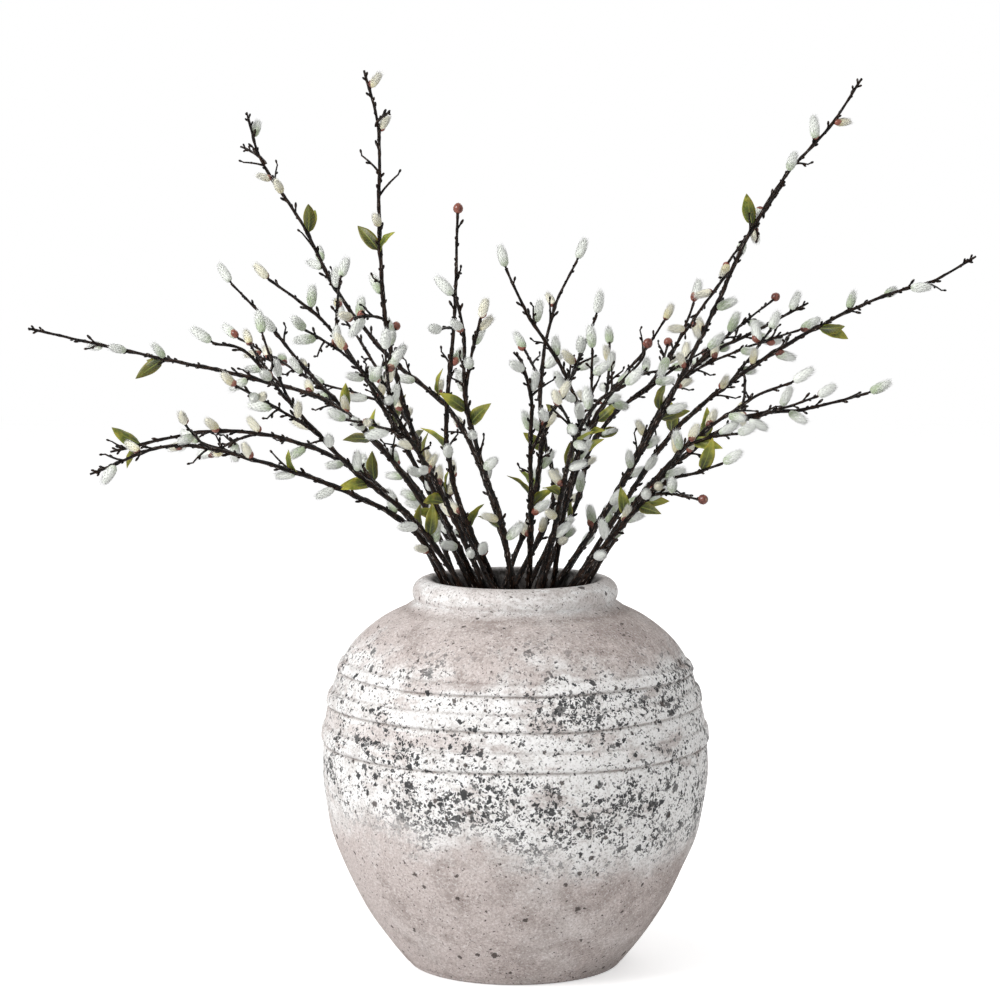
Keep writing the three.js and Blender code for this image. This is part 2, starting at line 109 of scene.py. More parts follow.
# Each branch. mouth: where its stem passes the throat. route: the points that it is led through above
# the vase. end: what its tip carries. twigs: the share of the stem above the throat where the twig
# leaves, where it ends, and what its tip carries. leaves: the share of the stem, and the turn round the
# stem in degrees, with 90 on its upper side. The places were picked in the photograph's frame,
# with guessed depths, and worked out as round millimetres; some were moved afterwards.
branches = [
    {
        "mouth": [-56, -35], "end": "bare",
        "route": [[-97, -46, 432], [-153, -62, 468], [-229, -85, 499], [-320, -105, 520], [-399, -120, 494]],
        "twigs": [[0.6, [-300, -70, 520], "catkin"], [0.7, [-307, -142, 543], "cream"]],
        "leaves": [[0.5, 60], [0.16, 100]],
    },
    {
        "mouth": [-66, 4], "end": "bare",
        "route": [[-108, 2, 444], [-162, 2, 491], [-227, 0, 518], [-301, -8, 525], [-393, -15, 506]],
        "twigs": [[0.62, [-296, 35, 502], "catkin"]],
        "leaves": [[0.32, 270], [0.32, 80], [0.92, 250], [0.92, 70]],
    },
    {
        "mouth": [-56, 35], "end": "bare",
        "route": [[-95, 52, 455], [-173, 66, 541], [-262, 85, 571], [-368, 100, 593], [-490, 110, 620]],
        "twigs": [[0.5, [-267, 120, 603], "cream"]],
        "leaves": [[0.74, 280], [0.74, 200], [0.3, 70]],
    },
    {
        "mouth": [-44, -49], "end": "catkin",
        "route": [
            [-95, -84, 445], [-151, -120, 497], [-205, -160, 560], [-245, -185, 611], [-276, -195, 621],
        ],
        "twigs": [[0.72, [-234, -150, 626], "catkin"], [0.6, [-254, -220, 584], "cream"]],
        "leaves": [[0.2, 90], [0.43, 270]],
    },
    {
        "mouth": [-44, 49], "end": "catkin",
        "route": [[-90, 78, 450], [-164, 105, 530], [-216, 125, 583], [-257, 140, 632], [-288, 145, 664]],
        "twigs": [[0.6, [-284, 175, 607], "catkin"]],
        "leaves": [[0.45, 270], [0.55, 90]],
    },
    {
        "mouth": [-37, 7], "end": "cream",
        "route": [[-78, 5, 454], [-117, -10, 529], [-154, -30, 594], [-188, -45, 638], [-235, -60, 675]],
        "twigs": [[0.66, [-198, -95, 628], "catkin"], [0.75, [-169, -10, 674], "catkin"]],
        "leaves": [[0.2, 270], [0.47, 90]],
    },
    {
        "mouth": [0, 66], "end": "bare",
        "route": [
            [-28, 102, 463], [-64, 130, 534], [-127, 150, 588], [-181, 170, 654], [-217, 180, 723],
            [-259, 190, 787], [-275, 195, 838],
        ],
        "twigs": [[0.9, [-283, 215, 803], "bare"], [0.62, [-200, 215, 684], "catkin"]],
        "leaves": [[0.75, 150], [0.75, 60], [0.36, 90]],
    },
    {
        "mouth": [-33, -19], "end": "bare",
        "route": [
            [-67, -50, 443], [-92, -75, 513], [-112, -95, 583], [-123, -110, 649], [-127, -120, 733],
            [-127, -125, 814], [-140, -130, 869],
        ],
        "twigs": [[0.9, [-116, -150, 830], "bare"], [0.55, [-151, -150, 642], "cream"]],
        "leaves": [[0.68, 0], [0.68, 190]],
    },
    {
        "mouth": [-13, -36], "end": "round",
        "route": [[-50, -75, 452], [-64, -105, 516], [-64, -115, 563], [-57, -125, 642], [-54, -130, 737]],
        "twigs": [[0.72, [-70, -160, 631], "catkin"]],
        "leaves": [[0.42, 180], [0.2, 20]],
    },
    {
        "mouth": [0, -66], "end": "bare",
        "route": [[-15, -117, 455], [-29, -150, 499], [-46, -195, 569], [-47, -220, 627], [-54, -235, 665]],
        "twigs": [[0.7, [-32, -235, 645], "cream"]],
        "leaves": [[0.62, 0], [0.66, 190], [0.24, 200]],
    },
    {
        "mouth": [12, 0], "end": "catkin",
        "route": [
            [45, 30, 435], [64, 35, 499], [62, 32, 546], [42, 25, 592], [13, 15, 637], [-9, 8, 683],
        ],
        "twigs": [[0.55, [97, 75, 548], "catkin"]],
        "leaves": [[0.4, 90]],
    },
    {
        "mouth": [0, 38], "end": "catkin",
        "route": [[39, 95, 448], [27, 125, 526], [29, 140, 586], [42, 150, 642], [64, 158, 687]],
        "twigs": [[0.62, [11, 165, 595], "catkin"]],
        "leaves": [[0.43, 60]],
    },
    {
        "mouth": [13, -36], "end": "bare",
        "route": [[15, -62, 445], [14, -95, 521], [15, -112, 561], [6, -125, 598], [-2, -128, 609]],
        "twigs": [[0.55, [41, -130, 566], "cream"]],
        "leaves": [[0.4, 180], [0.36, 0]],
    },
    {
        "mouth": [-12, 0], "end": "catkin",
        "route": [[18, 18, 451], [29, 8, 523], [54, -15, 577], [74, -32, 629], [78, -35, 640]],
        "twigs": [[0.72, [62, -62, 605], "catkin"]],
        "leaves": [[0.33, 100], [0.59, 180]],
    },
    {
        "mouth": [36, -14], "end": "round",
        "route": [[49, -52, 463], [65, -72, 522], [88, -92, 565], [117, -108, 599], [121, -112, 612]],
        "twigs": [[0.6, [72, -105, 610], "catkin"]],
        "leaves": [[0.6, 270]],
    },
    {
        "mouth": [24, 29], "end": "catkin",
        "route": [
            [63, 60, 452], [75, 80, 500], [106, 100, 540], [144, 115, 567], [173, 130, 622], [182, 135, 645],
        ],
        "twigs": [[0.7, [157, 160, 600], "round"], [0.62, [194, 120, 598], "catkin"]],
        "leaves": [[0.48, 270], [0.2, 90]],
    },
    {
        "mouth": [37, 7], "end": "bare",
        "route": [
            [88, 18, 442], [120, 25, 496], [163, 35, 574], [201, 45, 651], [227, 50, 708], [266, 55, 772],
            [310, 58, 821], [341, 60, 868],
        ],
        "twigs": [[0.78, [213, 85, 687], "cream"], [0.6, [148, -15, 599], "catkin"]],
        "leaves": [[0.69, 110], [0.33, 250]],
    },
    {
        "mouth": [57, 33], "end": "bare",
        "route": [
            [104, 50, 441], [159, 70, 519], [236, 90, 581], [315, 105, 627], [376, 112, 654],
            [423, 118, 668], [466, 125, 692],
        ],
        "twigs": [[0.45, [259, 130, 617], "catkin"], [0.5, [224, 40, 541], "cream"]],
        "leaves": [[0.67, 270], [0.67, 200], [0.33, 90]],
    },
    {
        "mouth": [43, 50], "end": "bare",
        "route": [[98, 82, 449], [155, 135, 546], [200, 165, 590], [248, 185, 613], [305, 205, 642]],
        "twigs": [[0.62, [270, 225, 644], "round"], [0.6, [292, 160, 616], "catkin"]],
        "leaves": [[0.5, 90], [0.2, 270]],
    },
    {
        "mouth": [57, -33], "end": "catkin",
        "route": [[108, -55, 451], [165, -85, 520], [203, -105, 551], [229, -115, 569], [258, -120, 580]],
        "twigs": [[0.6, [207, -130, 533], "catkin"]],
        "leaves": [[0.63, 270], [0.3, 90]],
    },
    {
        "mouth": [66, 0], "end": "catkin",
        "route": [[122, -5, 458], [176, -15, 511], [227, -28, 542], [279, -35, 549], [339, -42, 565]],
        "twigs": [[0.66, [287, -75, 564], "catkin"]],
        "leaves": [[0.28, 280], [0.52, 90]],
    },
    {
        "mouth": [44, -49], "end": "catkin",
        "route": [[97, -92, 438], [136, -140, 486], [169, -170, 501], [189, -185, 510]],
        "twigs": [[0.6, [168, -190, 477], "round"], [0.45, [160, -170, 530], "cream"]],
        "leaves": [[0.54, 270], [0.9, 100]],
    },
    {
        "mouth": [-24, 61], "end": "catkin",
        "route": [[-76, 122, 466], [-123, 180, 543], [-158, 215, 598], [-178, 232, 625]],
        "twigs": [[0.6, [-197, 215, 556], "catkin"], [0.7, [-125, 245, 612], "round"]],
        "leaves": [[0.3, 90], [0.5, 200]],
    },
    {
        "mouth": [-24, -61], "end": "cream",
        "route": [[-66, -118, 469], [-102, -180, 540], [-132, -225, 589], [-153, -245, 617]],
        "twigs": [[0.6, [-153, -245, 555], "catkin"], [0.7, [-116, -270, 619], "catkin"]],
        "leaves": [[0.35, 270], [0.5, 90]],
    },
    {
        "mouth": [24, -61], "end": "catkin",
        "route": [[42, -122, 470], [54, -185, 532], [75, -230, 571], [97, -250, 586]],
        "twigs": [[0.65, [39, -240, 568], "cream"]],
        "leaves": [[0.4, 200], [0.6, 20]],
    },
    {
        "mouth": [24, 61], "end": "cream",
        "route": [[62, 127, 475], [99, 190, 547], [137, 235, 591], [159, 255, 622]],
        "twigs": [[0.6, [101, 255, 596], "catkin"], [0.7, [185, 245, 575], "catkin"]],
        "leaves": [[0.35, 90], [0.55, 160]],
    },
]


def unit(way):
    # A direction, or each of an array of them, made 1 long
    return way / np.linalg.norm(way, axis=-1, keepdims=True)


def catmullRom(led, count):
    # Uniform Catmull-Rom curve through all the points but the first and last: between b and c, with a
    # before and d after, 0.5 (2b + (c - a) t + (2a - 5b + 4c - d) t^2 + (3b - a - 3c + d) t^3)
    where = np.linspace(0, len(led) - 3, count + 1)
    k = np.minimum(where.astype(int), len(led) - 4)
    t = (where - k)[:, None]
    a, b, c, d = led[k], led[k + 1], led[k + 2], led[k + 3]
    return 0.5 * (2 * b + (c - a) * t + (2 * a - 5 * b + 4 * c - d) * t**2 + (3 * b - a - 3 * c + d) * t**3)


def curveThrough(points, count):
    # The curve through all the points, led on straight past both ends
    return catmullRom(np.vstack([2 * points[0] - points[1], points, 2 * points[-1] - points[-2]]), count)


def reachOf(row):
    # Distance along a row of points, from its first point
    return np.concatenate([[0.0], np.cumsum(np.linalg.norm(np.diff(row, axis=0), axis=1))])


def spaced(row, steps):
    # The same row with its points spaced evenly
    reach = reachOf(row)
    at = np.linspace(0, reach[-1], steps + 1)
    return np.stack([np.interp(at, reach, row[:, axis]) for axis in range(3)], axis=1)


def alongRow(row, distance):
    # The point at a distance along a row, and the way that the row runs there
    reach = reachOf(row)
    k = min(max(int(np.searchsorted(reach, distance)) - 1, 0), len(row) - 2)
    way = unit(row[k + 1] - row[k])
    return row[k] + way * (distance - reach[k]), way


def taperAt(share):
    # A stem's radius at a share of its way from the throat to its tip
    slim = (1 - share) ** stemSet["taperPower"]
    return stemSet["tipRadius"] + (stemSet["stemRadius"] - stemSet["tipRadius"]) * slim


def dressedAt(share):
    # The finished stem's radius. The five-sided solids are 0.935 of their corner radius thick on the
    # whole, so it is slimmer than they are at the mouth and fuller than they are at its tip.
    return taperAt(share) * np.interp(share, (0, 1), stemSet["slimmer"])


def shootsOf(branch, owner):
    # A stem stands upright on the floor of the vase, flares to its place in the throat and follows its
    # route. It comes up to the throat already leaning the way that it goes on, the more the further out
    # it stands. A twig is a quadratic curve that leaves its stem along it.
    x, y = branch["mouth"]
    throat, route = np.array([x, y, stemSet["mouthHeight"]], float), np.array(branch["route"], float)
    outwards = np.hypot(x, y) / stemSet["outerMouth"]
    lean = unit(route[0] - throat) * np.array([outwards, outwards, 1])
    levels = [
        (stemSet["footSpread"], stemSet["floor"] + stemSet["seat"]),
        (stemSet["footSpread"], stemSet["floor"] + stemSet["upright"]),
        stemSet["middle"],
    ]
    spread = [(x * k, y * k, z) for k, z in levels]
    points = np.vstack([spread, throat - lean * stemSet["straightBelow"], throat, route])
    line = curveThrough(points, stemSet["lineSteps"])
    cut = int(np.argmax(line[:, 2] > stemSet["mouthHeight"]))
    hidden = spaced(line[:cut + 1], stemSet["hiddenSteps"])
    shown = spaced(line[cut:], stemSet["shownSteps"])
    taper = taperAt(np.linspace(0, 1, stemSet["shownSteps"] + 1))
    tip = shown[-1]
    bearing = np.arctan2(tip[1] - y, tip[0] - x)
    stem = {
        "row": np.vstack([hidden[:-1], shown]), "shown": shown, "line": line[cut:], "buried": line[:cut + 1],
        "radii": np.concatenate([np.full(len(hidden) - 1, stemSet["stemRadius"]), taper]),
        "first": spacingSet["firstCatkin"], "spacing": spacingSet["stemSpacing"], "end": branch["end"],
        "leaves": branch["leaves"], "owner": owner, "bearing": bearing,
        "seed": owner * stemSet["stemSeed"], "isTwig": False,
    }
    made = [stem]
    shownLength = reachOf(shown)[-1]
    for i, (part, end, carries) in enumerate(branch["twigs"]):
        place, way = alongRow(shown, part * shownLength)
        end = np.array(end, float)
        bend = place + way * stemSet["twigBend"] * np.linalg.norm(end - place)
        t = np.linspace(0, 1, stemSet["twigLineSteps"] + 1)[:, None]
        line = (1 - t) ** 2 * place + 2 * t * (1 - t) * bend + t**2 * end
        row = spaced(line, stemSet["twigSteps"])
        made.append({
            "row": row, "shown": row, "line": line,
            "radii": np.linspace(stemSet["twigRadius"], stemSet["tipRadius"], stemSet["twigSteps"] + 1),
            "first": spacingSet["twigSpacing"], "spacing": spacingSet["twigSpacing"], "end": carries,
            "leaves": [], "owner": owner, "bearing": bearing,
            "seed": owner * stemSet["stemSeed"] + (i + 1) * stemSet["twigSeed"], "isTwig": True,
        })
    return made


def draw(seed, step):
    # A draw that is the same each run: the fractional part of a seed times a step
    return (seed * step) % 1


def fromPair(pair, share):
    # The least of a size, and a share of what can be added to it
    return pair[0] + pair[1] * share


def sidesOf(way, bearing):
    # Two directions square to a way: the first level with the ground, the second on the upper side
    zero = 0 * way[..., 0]
    level = np.stack([-np.sin(bearing) + zero, np.cos(bearing) + zero, zero], -1)
    first = unit(level - way * (level * way).sum(-1, keepdims=True))
    return first, np.cross(way, first)


def growthAt(kind, at, bearing, turn, size, lean, roll=0.0):
    # A thing that grows at a place on a shoot, leaning off it, turned round it and rolled about itself
    place, way = at
    first, second = sidesOf(way, bearing)
    around, tilt = np.radians(turn), np.radians(lean)
    side = first * np.cos(around) + second * np.sin(around)
    aim = unit(way * np.cos(tilt) + side * np.sin(tilt))
    across = unit(np.cross(way, side))
    across = across * np.cos(np.radians(roll)) + np.cross(aim, across) * np.sin(np.radians(roll))
    kindSet = growthSet[kind]
    length = kindSet["length"] * size
    return {
        "kind": kind, "place": place, "aim": aim, "across": across,
        "length": length, "width": kindSet["width"] * size, "tip": place + aim * length,
    }


def stretchDistances(a, b, c, d):
    # Closest distance of the stretch a-b from each of the stretches c-d
    u, v, w = b - a, d - c, a - c
    uu, vv, uv, uw, vw = (u * u).sum(), (v * v).sum(1), v @ u, w @ u, (v * w).sum(1)
    spread = uu * vv - uv * uv
    s = np.where(spread > 1e-9, np.clip((uv * vw - uw * vv) / np.maximum(spread, 1e-9), 0, 1), 0)
    t = np.clip((uv * s + vw) / vv, 0, 1)
    s = np.clip((uv * t - uw) / uu, 0, 1)
    return np.linalg.norm(a + u * s[:, None] - c - v * t[:, None], axis=1)


def isClear(growth, owner, bars, grown):
    # True where a growth keeps clear of the lip, of every other branch's shoots and of what they carry
    lowest = min(growth["tip"][2], growth["place"][2]) - growth["width"] / 2
    if lowest < spacingSet["lipHeight"]:
        return False
    reach = growth["width"] / 2 + spacingSet["clearance"]
    other = bars["owner"] != owner
    far = stretchDistances(growth["place"], growth["tip"], bars["start"][other], bars["end"][other])
    if (far < reach + bars["radius"][other]).any():
        return False
    rest = [g for g in grown if g["owner"] != owner]
    if not rest:
        return True
    starts, ends = np.array([g["place"] for g in rest]), np.array([g["tip"] for g in rest])
    halves = np.array([g["width"] / 2 for g in rest])
    return not (stretchDistances(growth["place"], growth["tip"], starts, ends) < reach + halves).any()


def growAll(shoots):
    # Tips and leaves first, then catkins by the golden turn, then extra catkins half a spacing off them,
    # below the first one too on a stem. One that would come below the lip's top, or touch another branch's
    # solid or what grows there, is turned round its stem or left out.
    bars = {
        "start": np.concatenate([s["row"][:-1] for s in shoots]),
        "end": np.concatenate([s["row"][1:] for s in shoots]),
        "radius": np.concatenate([s["radii"][:-1] for s in shoots]),
        "owner": np.concatenate([np.full(len(s["row"]) - 1, s["owner"]) for s in shoots]),
    }
    grown = []

    def add(shoot, kind, along, turn, size, lean=None, roll=0.0):
        at = alongRow(shoot["shown"], along)
        for change in spacingSet["tries"]:
            tilt = growthSet[kind]["lean"] if lean is None else lean
            growth = growthAt(kind, at, shoot["bearing"], turn + change, size, tilt, roll)
            if isClear(growth, shoot["owner"], bars, grown):
                growth["owner"] = shoot["owner"]
                growth["share"] = along / reachOf(shoot["shown"])[-1]
                growth["shoot"] = shoot
                grown.append(growth)
                return

    for shoot in shoots:
        length = reachOf(shoot["shown"])[-1]
        if shoot["end"] != "bare":
            add(shoot, shoot["end"], length - spacingSet["tipInset"], 90, 1, spacingSet["tipLean"])
        for i, (share, turn) in enumerate(shoot["leaves"]):
            size = fromPair(spacingSet["leafSize"], draw(i + shoot["seed"], golden))
            roll = fromPair(spacingSet["leafRoll"], draw(i + shoot["seed"], plastic))
            add(shoot, "leaf", share * length, turn, size, None, -roll if i % 2 else roll)
    for extra in (0, 1):
        for shoot in shoots:
            length = reachOf(shoot["shown"])[-1]
            bare = shoot["end"] == "bare"
            stop = length - (spacingSet["bareTip"] if bare else shoot["spacing"] * spacingSet["stopBefore"])
            along = shoot["first"] + extra * (0.5 if shoot["isTwig"] else -0.5) * shoot["spacing"]
            count = 0
            while along < stop:
                count += 1
                seed = shoot["seed"] + count + extra * spacingSet["extraSeed"]
                kind = "cream" if draw(seed, plastic) < spacingSet["creamShare"] else "catkin"
                size = fromPair(spacingSet["catkinSize"], draw(seed, plasticSquare))
                place = along + shoot["spacing"] * spacingSet["scatter"] * draw(seed, golden)
                low = not shoot["isTwig"] and along < spacingSet["lowReach"]
                if not extra or draw(seed, silverStep) < spacingSet["lowShare" if low else "extraShare"]:
                    add(shoot, kind, place, seed * goldenTurn, size)
                along += shoot["spacing"]
    return grown


shoots = [shoot for owner, branch in enumerate(branches) for shoot in shootsOf(branch, owner)]
grown = growAll(shoots)
kindCounts = {kind: sum(g["kind"] == kind for g in grown) for kind in growthSet}
print("branches laid out:", len(shoots), "shoots,", kindCounts)


def fineRow(shoot):
    # The shoot as a finely spaced row. A zigzag, the arcsine of a sine, and a quicker wave across it, each
    # a quarter of a millimetre to both sides, give it the crooks of a grown stem and die out at its ends.
    steps = stemSet["fineTwig"] if shoot["isTwig"] else stemSet["fineShown"]
    row = spaced(shoot["line"], steps)
    first, second = sidesOf(unit(np.gradient(row, axis=0)), shoot["bearing"])
    share = np.linspace(0, 1, steps + 1)[:, None]
    reach = reachOf(row)[:, None]
    sway = stemSet["sway"] * np.sin(np.pi * share) ** 0.5
    zigzag = np.arcsin(np.sin(np.pi * reach / stemSet["zigzag"] + shoot["seed"])) * 2 / np.pi
    return row + first * sway * zigzag + second * sway * np.sin(reach / stemSet["wave"] + 2.0)


for shoot in shoots:
    shoot["fine"] = fineRow(shoot)
for growth in grown:
    fine = growth["shoot"]["fine"]
    onFine = alongRow(fine, growth["share"] * reachOf(fine)[-1])[0]
    growth["place"], growth["tip"] = onFine, growth["tip"] + onFine - growth["place"]


def closedShells(rings, feet, tips):
    # Copies of one shape, each a stack of rings closed by a fan at both ends.
    # rings: [copies, steps, sides, 3], and feet and tips: [copies, 3]
    copies, steps, sides, _ = rings.shape
    block = steps * sides + 2
    points = np.concatenate([rings.reshape(copies, steps * sides, 3), feet[:, None], tips[:, None]], axis=1)
    here, ahead = np.arange(sides), (np.arange(sides) + 1) % sides
    rows = np.arange(steps - 1)[:, None] * sides
    a, b = (rows + here).ravel(), (rows + ahead).ravel()
    quads = np.stack([a, b, b + sides, a + sides], axis=1)
    last = (steps - 1) * sides
    footFan = np.stack([ahead, here, np.full(sides, block - 2)], axis=1)
    tipFan = np.stack([last + here, last + ahead, np.full(sides, block - 1)], axis=1)
    shift = np.arange(copies)[:, None, None] * block
    tris = (np.concatenate([footFan, tipFan])[None] + shift).reshape(-1, 3)
    return points.reshape(-1, 3), (quads[None] + shift).reshape(-1, 4), tris


def joined(parts):
    # Several sets of points, quads and triangles as one
    points, quads, tris, count = [], [], [], 0
    for p, q, t in parts:
        points.append(p)
        quads.append(q + count)
        tris.append(t + count)
        count += len(p)
    return np.concatenate(points), np.concatenate(quads), np.concatenate(tris)


def makePiece(name, shape, material, spots):
    # A mesh object at the origin from whole arrays, with its pattern attributes: {name: values}. A point
    # outside the solids' box is moved onto it: some 40 points, most of them on catkins, by up to 3 mm.
    points, quads, tris = shape
    points = np.clip(points, np.array(cadBox[0]) / mm, np.array(cadBox[1]) / mm)
    mesh = bpy.data.meshes.new(name)
    corners = np.concatenate([quads.ravel(), tris.ravel()]).astype(np.int32)
    sizes = np.concatenate([np.full(len(quads), 4), np.full(len(tris), 3)])
    starts = (np.cumsum(sizes) - sizes).astype(np.int32)
    mesh.vertices.add(len(points))
    mesh.vertices.foreach_set("co", (points * mm).astype(np.float32).ravel())
    mesh.loops.add(len(corners))
    mesh.loops.foreach_set("vertex_index", corners)
    mesh.polygons.add(len(sizes))
    mesh.polygons.foreach_set("loop_start", starts)
    mesh.polygons.foreach_set("use_smooth", np.ones(len(sizes), bool))
    for key, values in spots.items():
        isVector = values.ndim == 2
        attribute = mesh.attributes.new(key, "FLOAT_VECTOR" if isVector else "FLOAT", "POINT")
        attribute.data.foreach_set("vector" if isVector else "value", values.astype(np.float32).ravel())
    mesh.update(calc_edges=True)
    mesh.validate()
    mesh.materials.append(material)
    piece = bpy.data.objects.new(name, mesh)
    bpy.context.scene.collection.objects.link(piece)
    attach(piece, "root")
    print("made", name, len(quads) * 2 + len(tris), "triangles")
    return piece


def addNode(tree, kind, settings=None, inputs=None):
    new = tree.nodes.new(kind)
    for key, value in (settings or {}).items():
        setattr(new, key, value)
    for key, value in (inputs or {}).items():
        if isinstance(value, bpy.types.NodeSocket):
            tree.links.new(value, new.inputs[key])
        else:
            new.inputs[key].default_value = value
    return new


def calc(tree, operation, a, b=0.0, clamp=False):
    new = addNode(tree, "ShaderNodeMath", {"operation": operation, "use_clamp": clamp}, {0: a, 1: b})
    return new.outputs[0]


def rise(tree, value, low, high, start=0.0, end=1.0):
    # Smooth step from low to high
    settings = {"interpolation_type": "SMOOTHSTEP", "clamp": True}
    inputs = {"Value": value, "From Min": low, "From Max": high, "To Min": start, "To Max": end}
    return addNode(tree, "ShaderNodeMapRange", settings, inputs).outputs["Result"]


def blend(tree, factor, a, b):
    # inputs 6 and 7 are the colours of a Mix node set to colour
    return addNode(tree, "ShaderNodeMix", {"data_type": "RGBA"}, {0: factor, 6: a, 7: b}).outputs[2]


def noise(tree, place, scale, detail=3.0, roughness=0.55):
    inputs = {"Vector": place, "Scale": scale, "Detail": detail, "Roughness": roughness}
    return addNode(tree, "ShaderNodeTexNoise", None, inputs).outputs["Fac"]


def cells(tree, place, scale):
    # A cell pattern: the distance from a cell's middle, and two draws for each cell
    cell = addNode(tree, "ShaderNodeTexVoronoi", None, {"Vector": place, "Scale": scale})
    split = addNode(tree, "ShaderNodeSeparateColor", None, {0: cell.outputs["Color"]})
    return cell.outputs["Distance"], split.outputs[0], split.outputs[1]


def cellGap(tree, place, scale):
    # The distance from the edge of the same cells
    settings, inputs = {"feature": "DISTANCE_TO_EDGE"}, {"Vector": place, "Scale": scale}
    return addNode(tree, "ShaderNodeTexVoronoi", settings, inputs).outputs["Distance"]


def scaled(tree, place, factors):
    # A place stretched along each axis
    return addNode(tree, "ShaderNodeVectorMath", {"operation": "MULTIPLY"}, {0: place, 1: factors}).outputs[0]


def split3(tree, vector):
    return addNode(tree, "ShaderNodeSeparateXYZ", None, {0: vector}).outputs[:]


def newFinish(name, roughness):
    material = bpy.data.materials.new(name)
    material.use_nodes = True
    tree = material.node_tree
    shader = tree.nodes["Principled BSDF"]
    shader.inputs["Roughness"].default_value = roughness
    return material, tree, shader


def bump(tree, shader, height, distance, strength):
    inputs = {"Height": height, "Distance": distance, "Strength": strength}
    tree.links.new(addNode(tree, "ShaderNodeBump", None, inputs).outputs[0], shader.inputs["Normal"])


def attribute(tree, name, output="Fac"):
    return addNode(tree, "ShaderNodeAttribute", {"attribute_name": name}).outputs[output]


# The vase
vaseSet = {
    "height": 381, "wall": 12, "floor": 14, "throat": 75, "lip": 13, "edgeRound": 6,
    "outline": [
        (109, 6), (139, 46), (158, 81), (175, 120), (185.5, 162), (189, 205),
        (186, 243), (179, 275), (168, 303), (154, 323), (131, 341), (107, 353),
    ],
    "bands": [(231, 8), (267, 7), (296, 5)], "bandRise": 2.4, "groove": 1.2, "uneven": 0.8, "sides": 256,
    "neckCrease": 354,
}


def vaseRadius(z):
    # The solid's outline: a Catmull-Rom curve that holds its end points
    outline = np.array(vaseSet["outline"], float)
    line = catmullRom(np.vstack([outline[0], outline, outline[-1]]), 599)
    return np.interp(z, line[:, 1], line[:, 0])


def makeVase(material):
    # The outline turned round Z. Out from it stand three bands, each exp(-((z - middle) / half)^6) with a
    # narrow groove under it, whose middle and rise wander slowly round the jar, and a hand-made
    # unevenness: a sum of slow sine waves.
    lipMiddle = (vaseSet["throat"] + vaseSet["lip"], vaseSet["height"] - vaseSet["lip"])
    lipTurn = np.radians(np.linspace(-40, 180, 28))
    edgeTurn = np.radians(np.linspace(-88, -8, 6))
    edge = vaseSet["edgeRound"]
    outerZ = np.concatenate([
        np.linspace(7, 210, 56), np.linspace(211, 308, 140), np.linspace(310, 352, 20),
    ])
    innerZ = np.linspace(338, 30, 30)
    runs = [   # radius, height, and what the run is: 0 base, 1 outside, 2 lip, 3 inside
        ([20, 60, 90], [0, 0, 0], 0),
        (100.5 + edge * np.cos(edgeTurn), edge + edge * np.sin(edgeTurn), 0),
        (vaseRadius(outerZ), outerZ, 1),
        (lipMiddle[0] + vaseSet["lip"] * np.cos(lipTurn), lipMiddle[1] + vaseSet["lip"] * np.sin(lipTurn), 2),
        ([75.2, 76.2], [360, 350], 3),
        (vaseRadius(innerZ) - vaseSet["wall"], innerZ, 3),
        ([100, 60, 20], [vaseSet["floor"] + 1, vaseSet["floor"], vaseSet["floor"]], 3),
    ]
    r = np.concatenate([run[0] for run in runs])[:, None]
    kind = np.concatenate([np.full(len(run[0]), run[2]) for run in runs])[:, None]
    turn = np.linspace(0, 2 * np.pi, vaseSet["sides"], endpoint=False)[None]
    z = np.concatenate([run[1] for run in runs])[:, None] + 0 * turn
    # Where the colour gets painted shade, partly dirt: in the groove under each band, more faintly over it,
    # and under the lip
    swell, creaseShade = 0 * z, 0 * z
    for i, (middle, half) in enumerate(vaseSet["bands"]):
        wander = 1.1 * np.sin(turn + 1.7 * i) + 0.7 * np.sin(3 * turn + 2.1 * i) + 0.35 * np.sin(7 * turn + i)
        lift = 1 + 0.16 * np.sin(2 * turn + 1.3 * i) + 0.1 * np.sin(5 * turn + 0.6 + i)
        apart = z - middle - wander
        under = np.exp(-(((apart + half * 1.16) / 1.3) ** 2))
        over = np.exp(-(((apart - half * 1.2) / 1.3) ** 2))
        swell = swell + vaseSet["bandRise"] * lift * np.exp(-((apart / half) ** 6))
        swell = swell - vaseSet["groove"] * under - 0.4 * vaseSet["groove"] * over
        creaseShade = creaseShade + under + 0.55 * over
    uneven = vaseSet["uneven"] * (
        0.8 * np.sin(2 * turn + 0.012 * z) + 0.5 * np.sin(3 * turn - 0.03 * z + 1)
        + 0.35 * np.sin(0.11 * z + 2 * np.sin(turn)) + 0.25 * np.sin(9 * turn + 0.07 * z)
        + 0.2 * np.sin(17 * turn - 0.13 * z + 2)
    )
    # Painted shade in a line under the lip
    creaseShade = creaseShade + np.exp(-(((z - vaseSet["neckCrease"]) / 3.0) ** 2))   # under the lip
    radius = r + (kind == 1) * (swell + uneven) + (kind == 2) * 0.5 * uneven
    rings = np.stack([radius * np.cos(turn), radius * np.sin(turn), z], axis=-1)[None]
    shape = closedShells(rings, np.array([[0, 0, 0.0]]), np.array([[0, 0, float(vaseSet["floor"])]]))
    # How far the painted shade of the inside reaches over the lip's inner part
    lipInnerShade = (kind == 2) * np.clip((lipMiddle[0] - radius) / 8, 0, 1)
    spot = np.stack([creaseShade * (kind == 1), (kind == 2) + 0 * z, (kind == 3) + lipInnerShade], axis=-1)
    spot = np.concatenate([spot.reshape(-1, 3), [[0, 0, 0], [0, 0, 1]]])
    piece = makePiece("clay_jar", shape, material, {"claySpot": spot})
    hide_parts("vase")


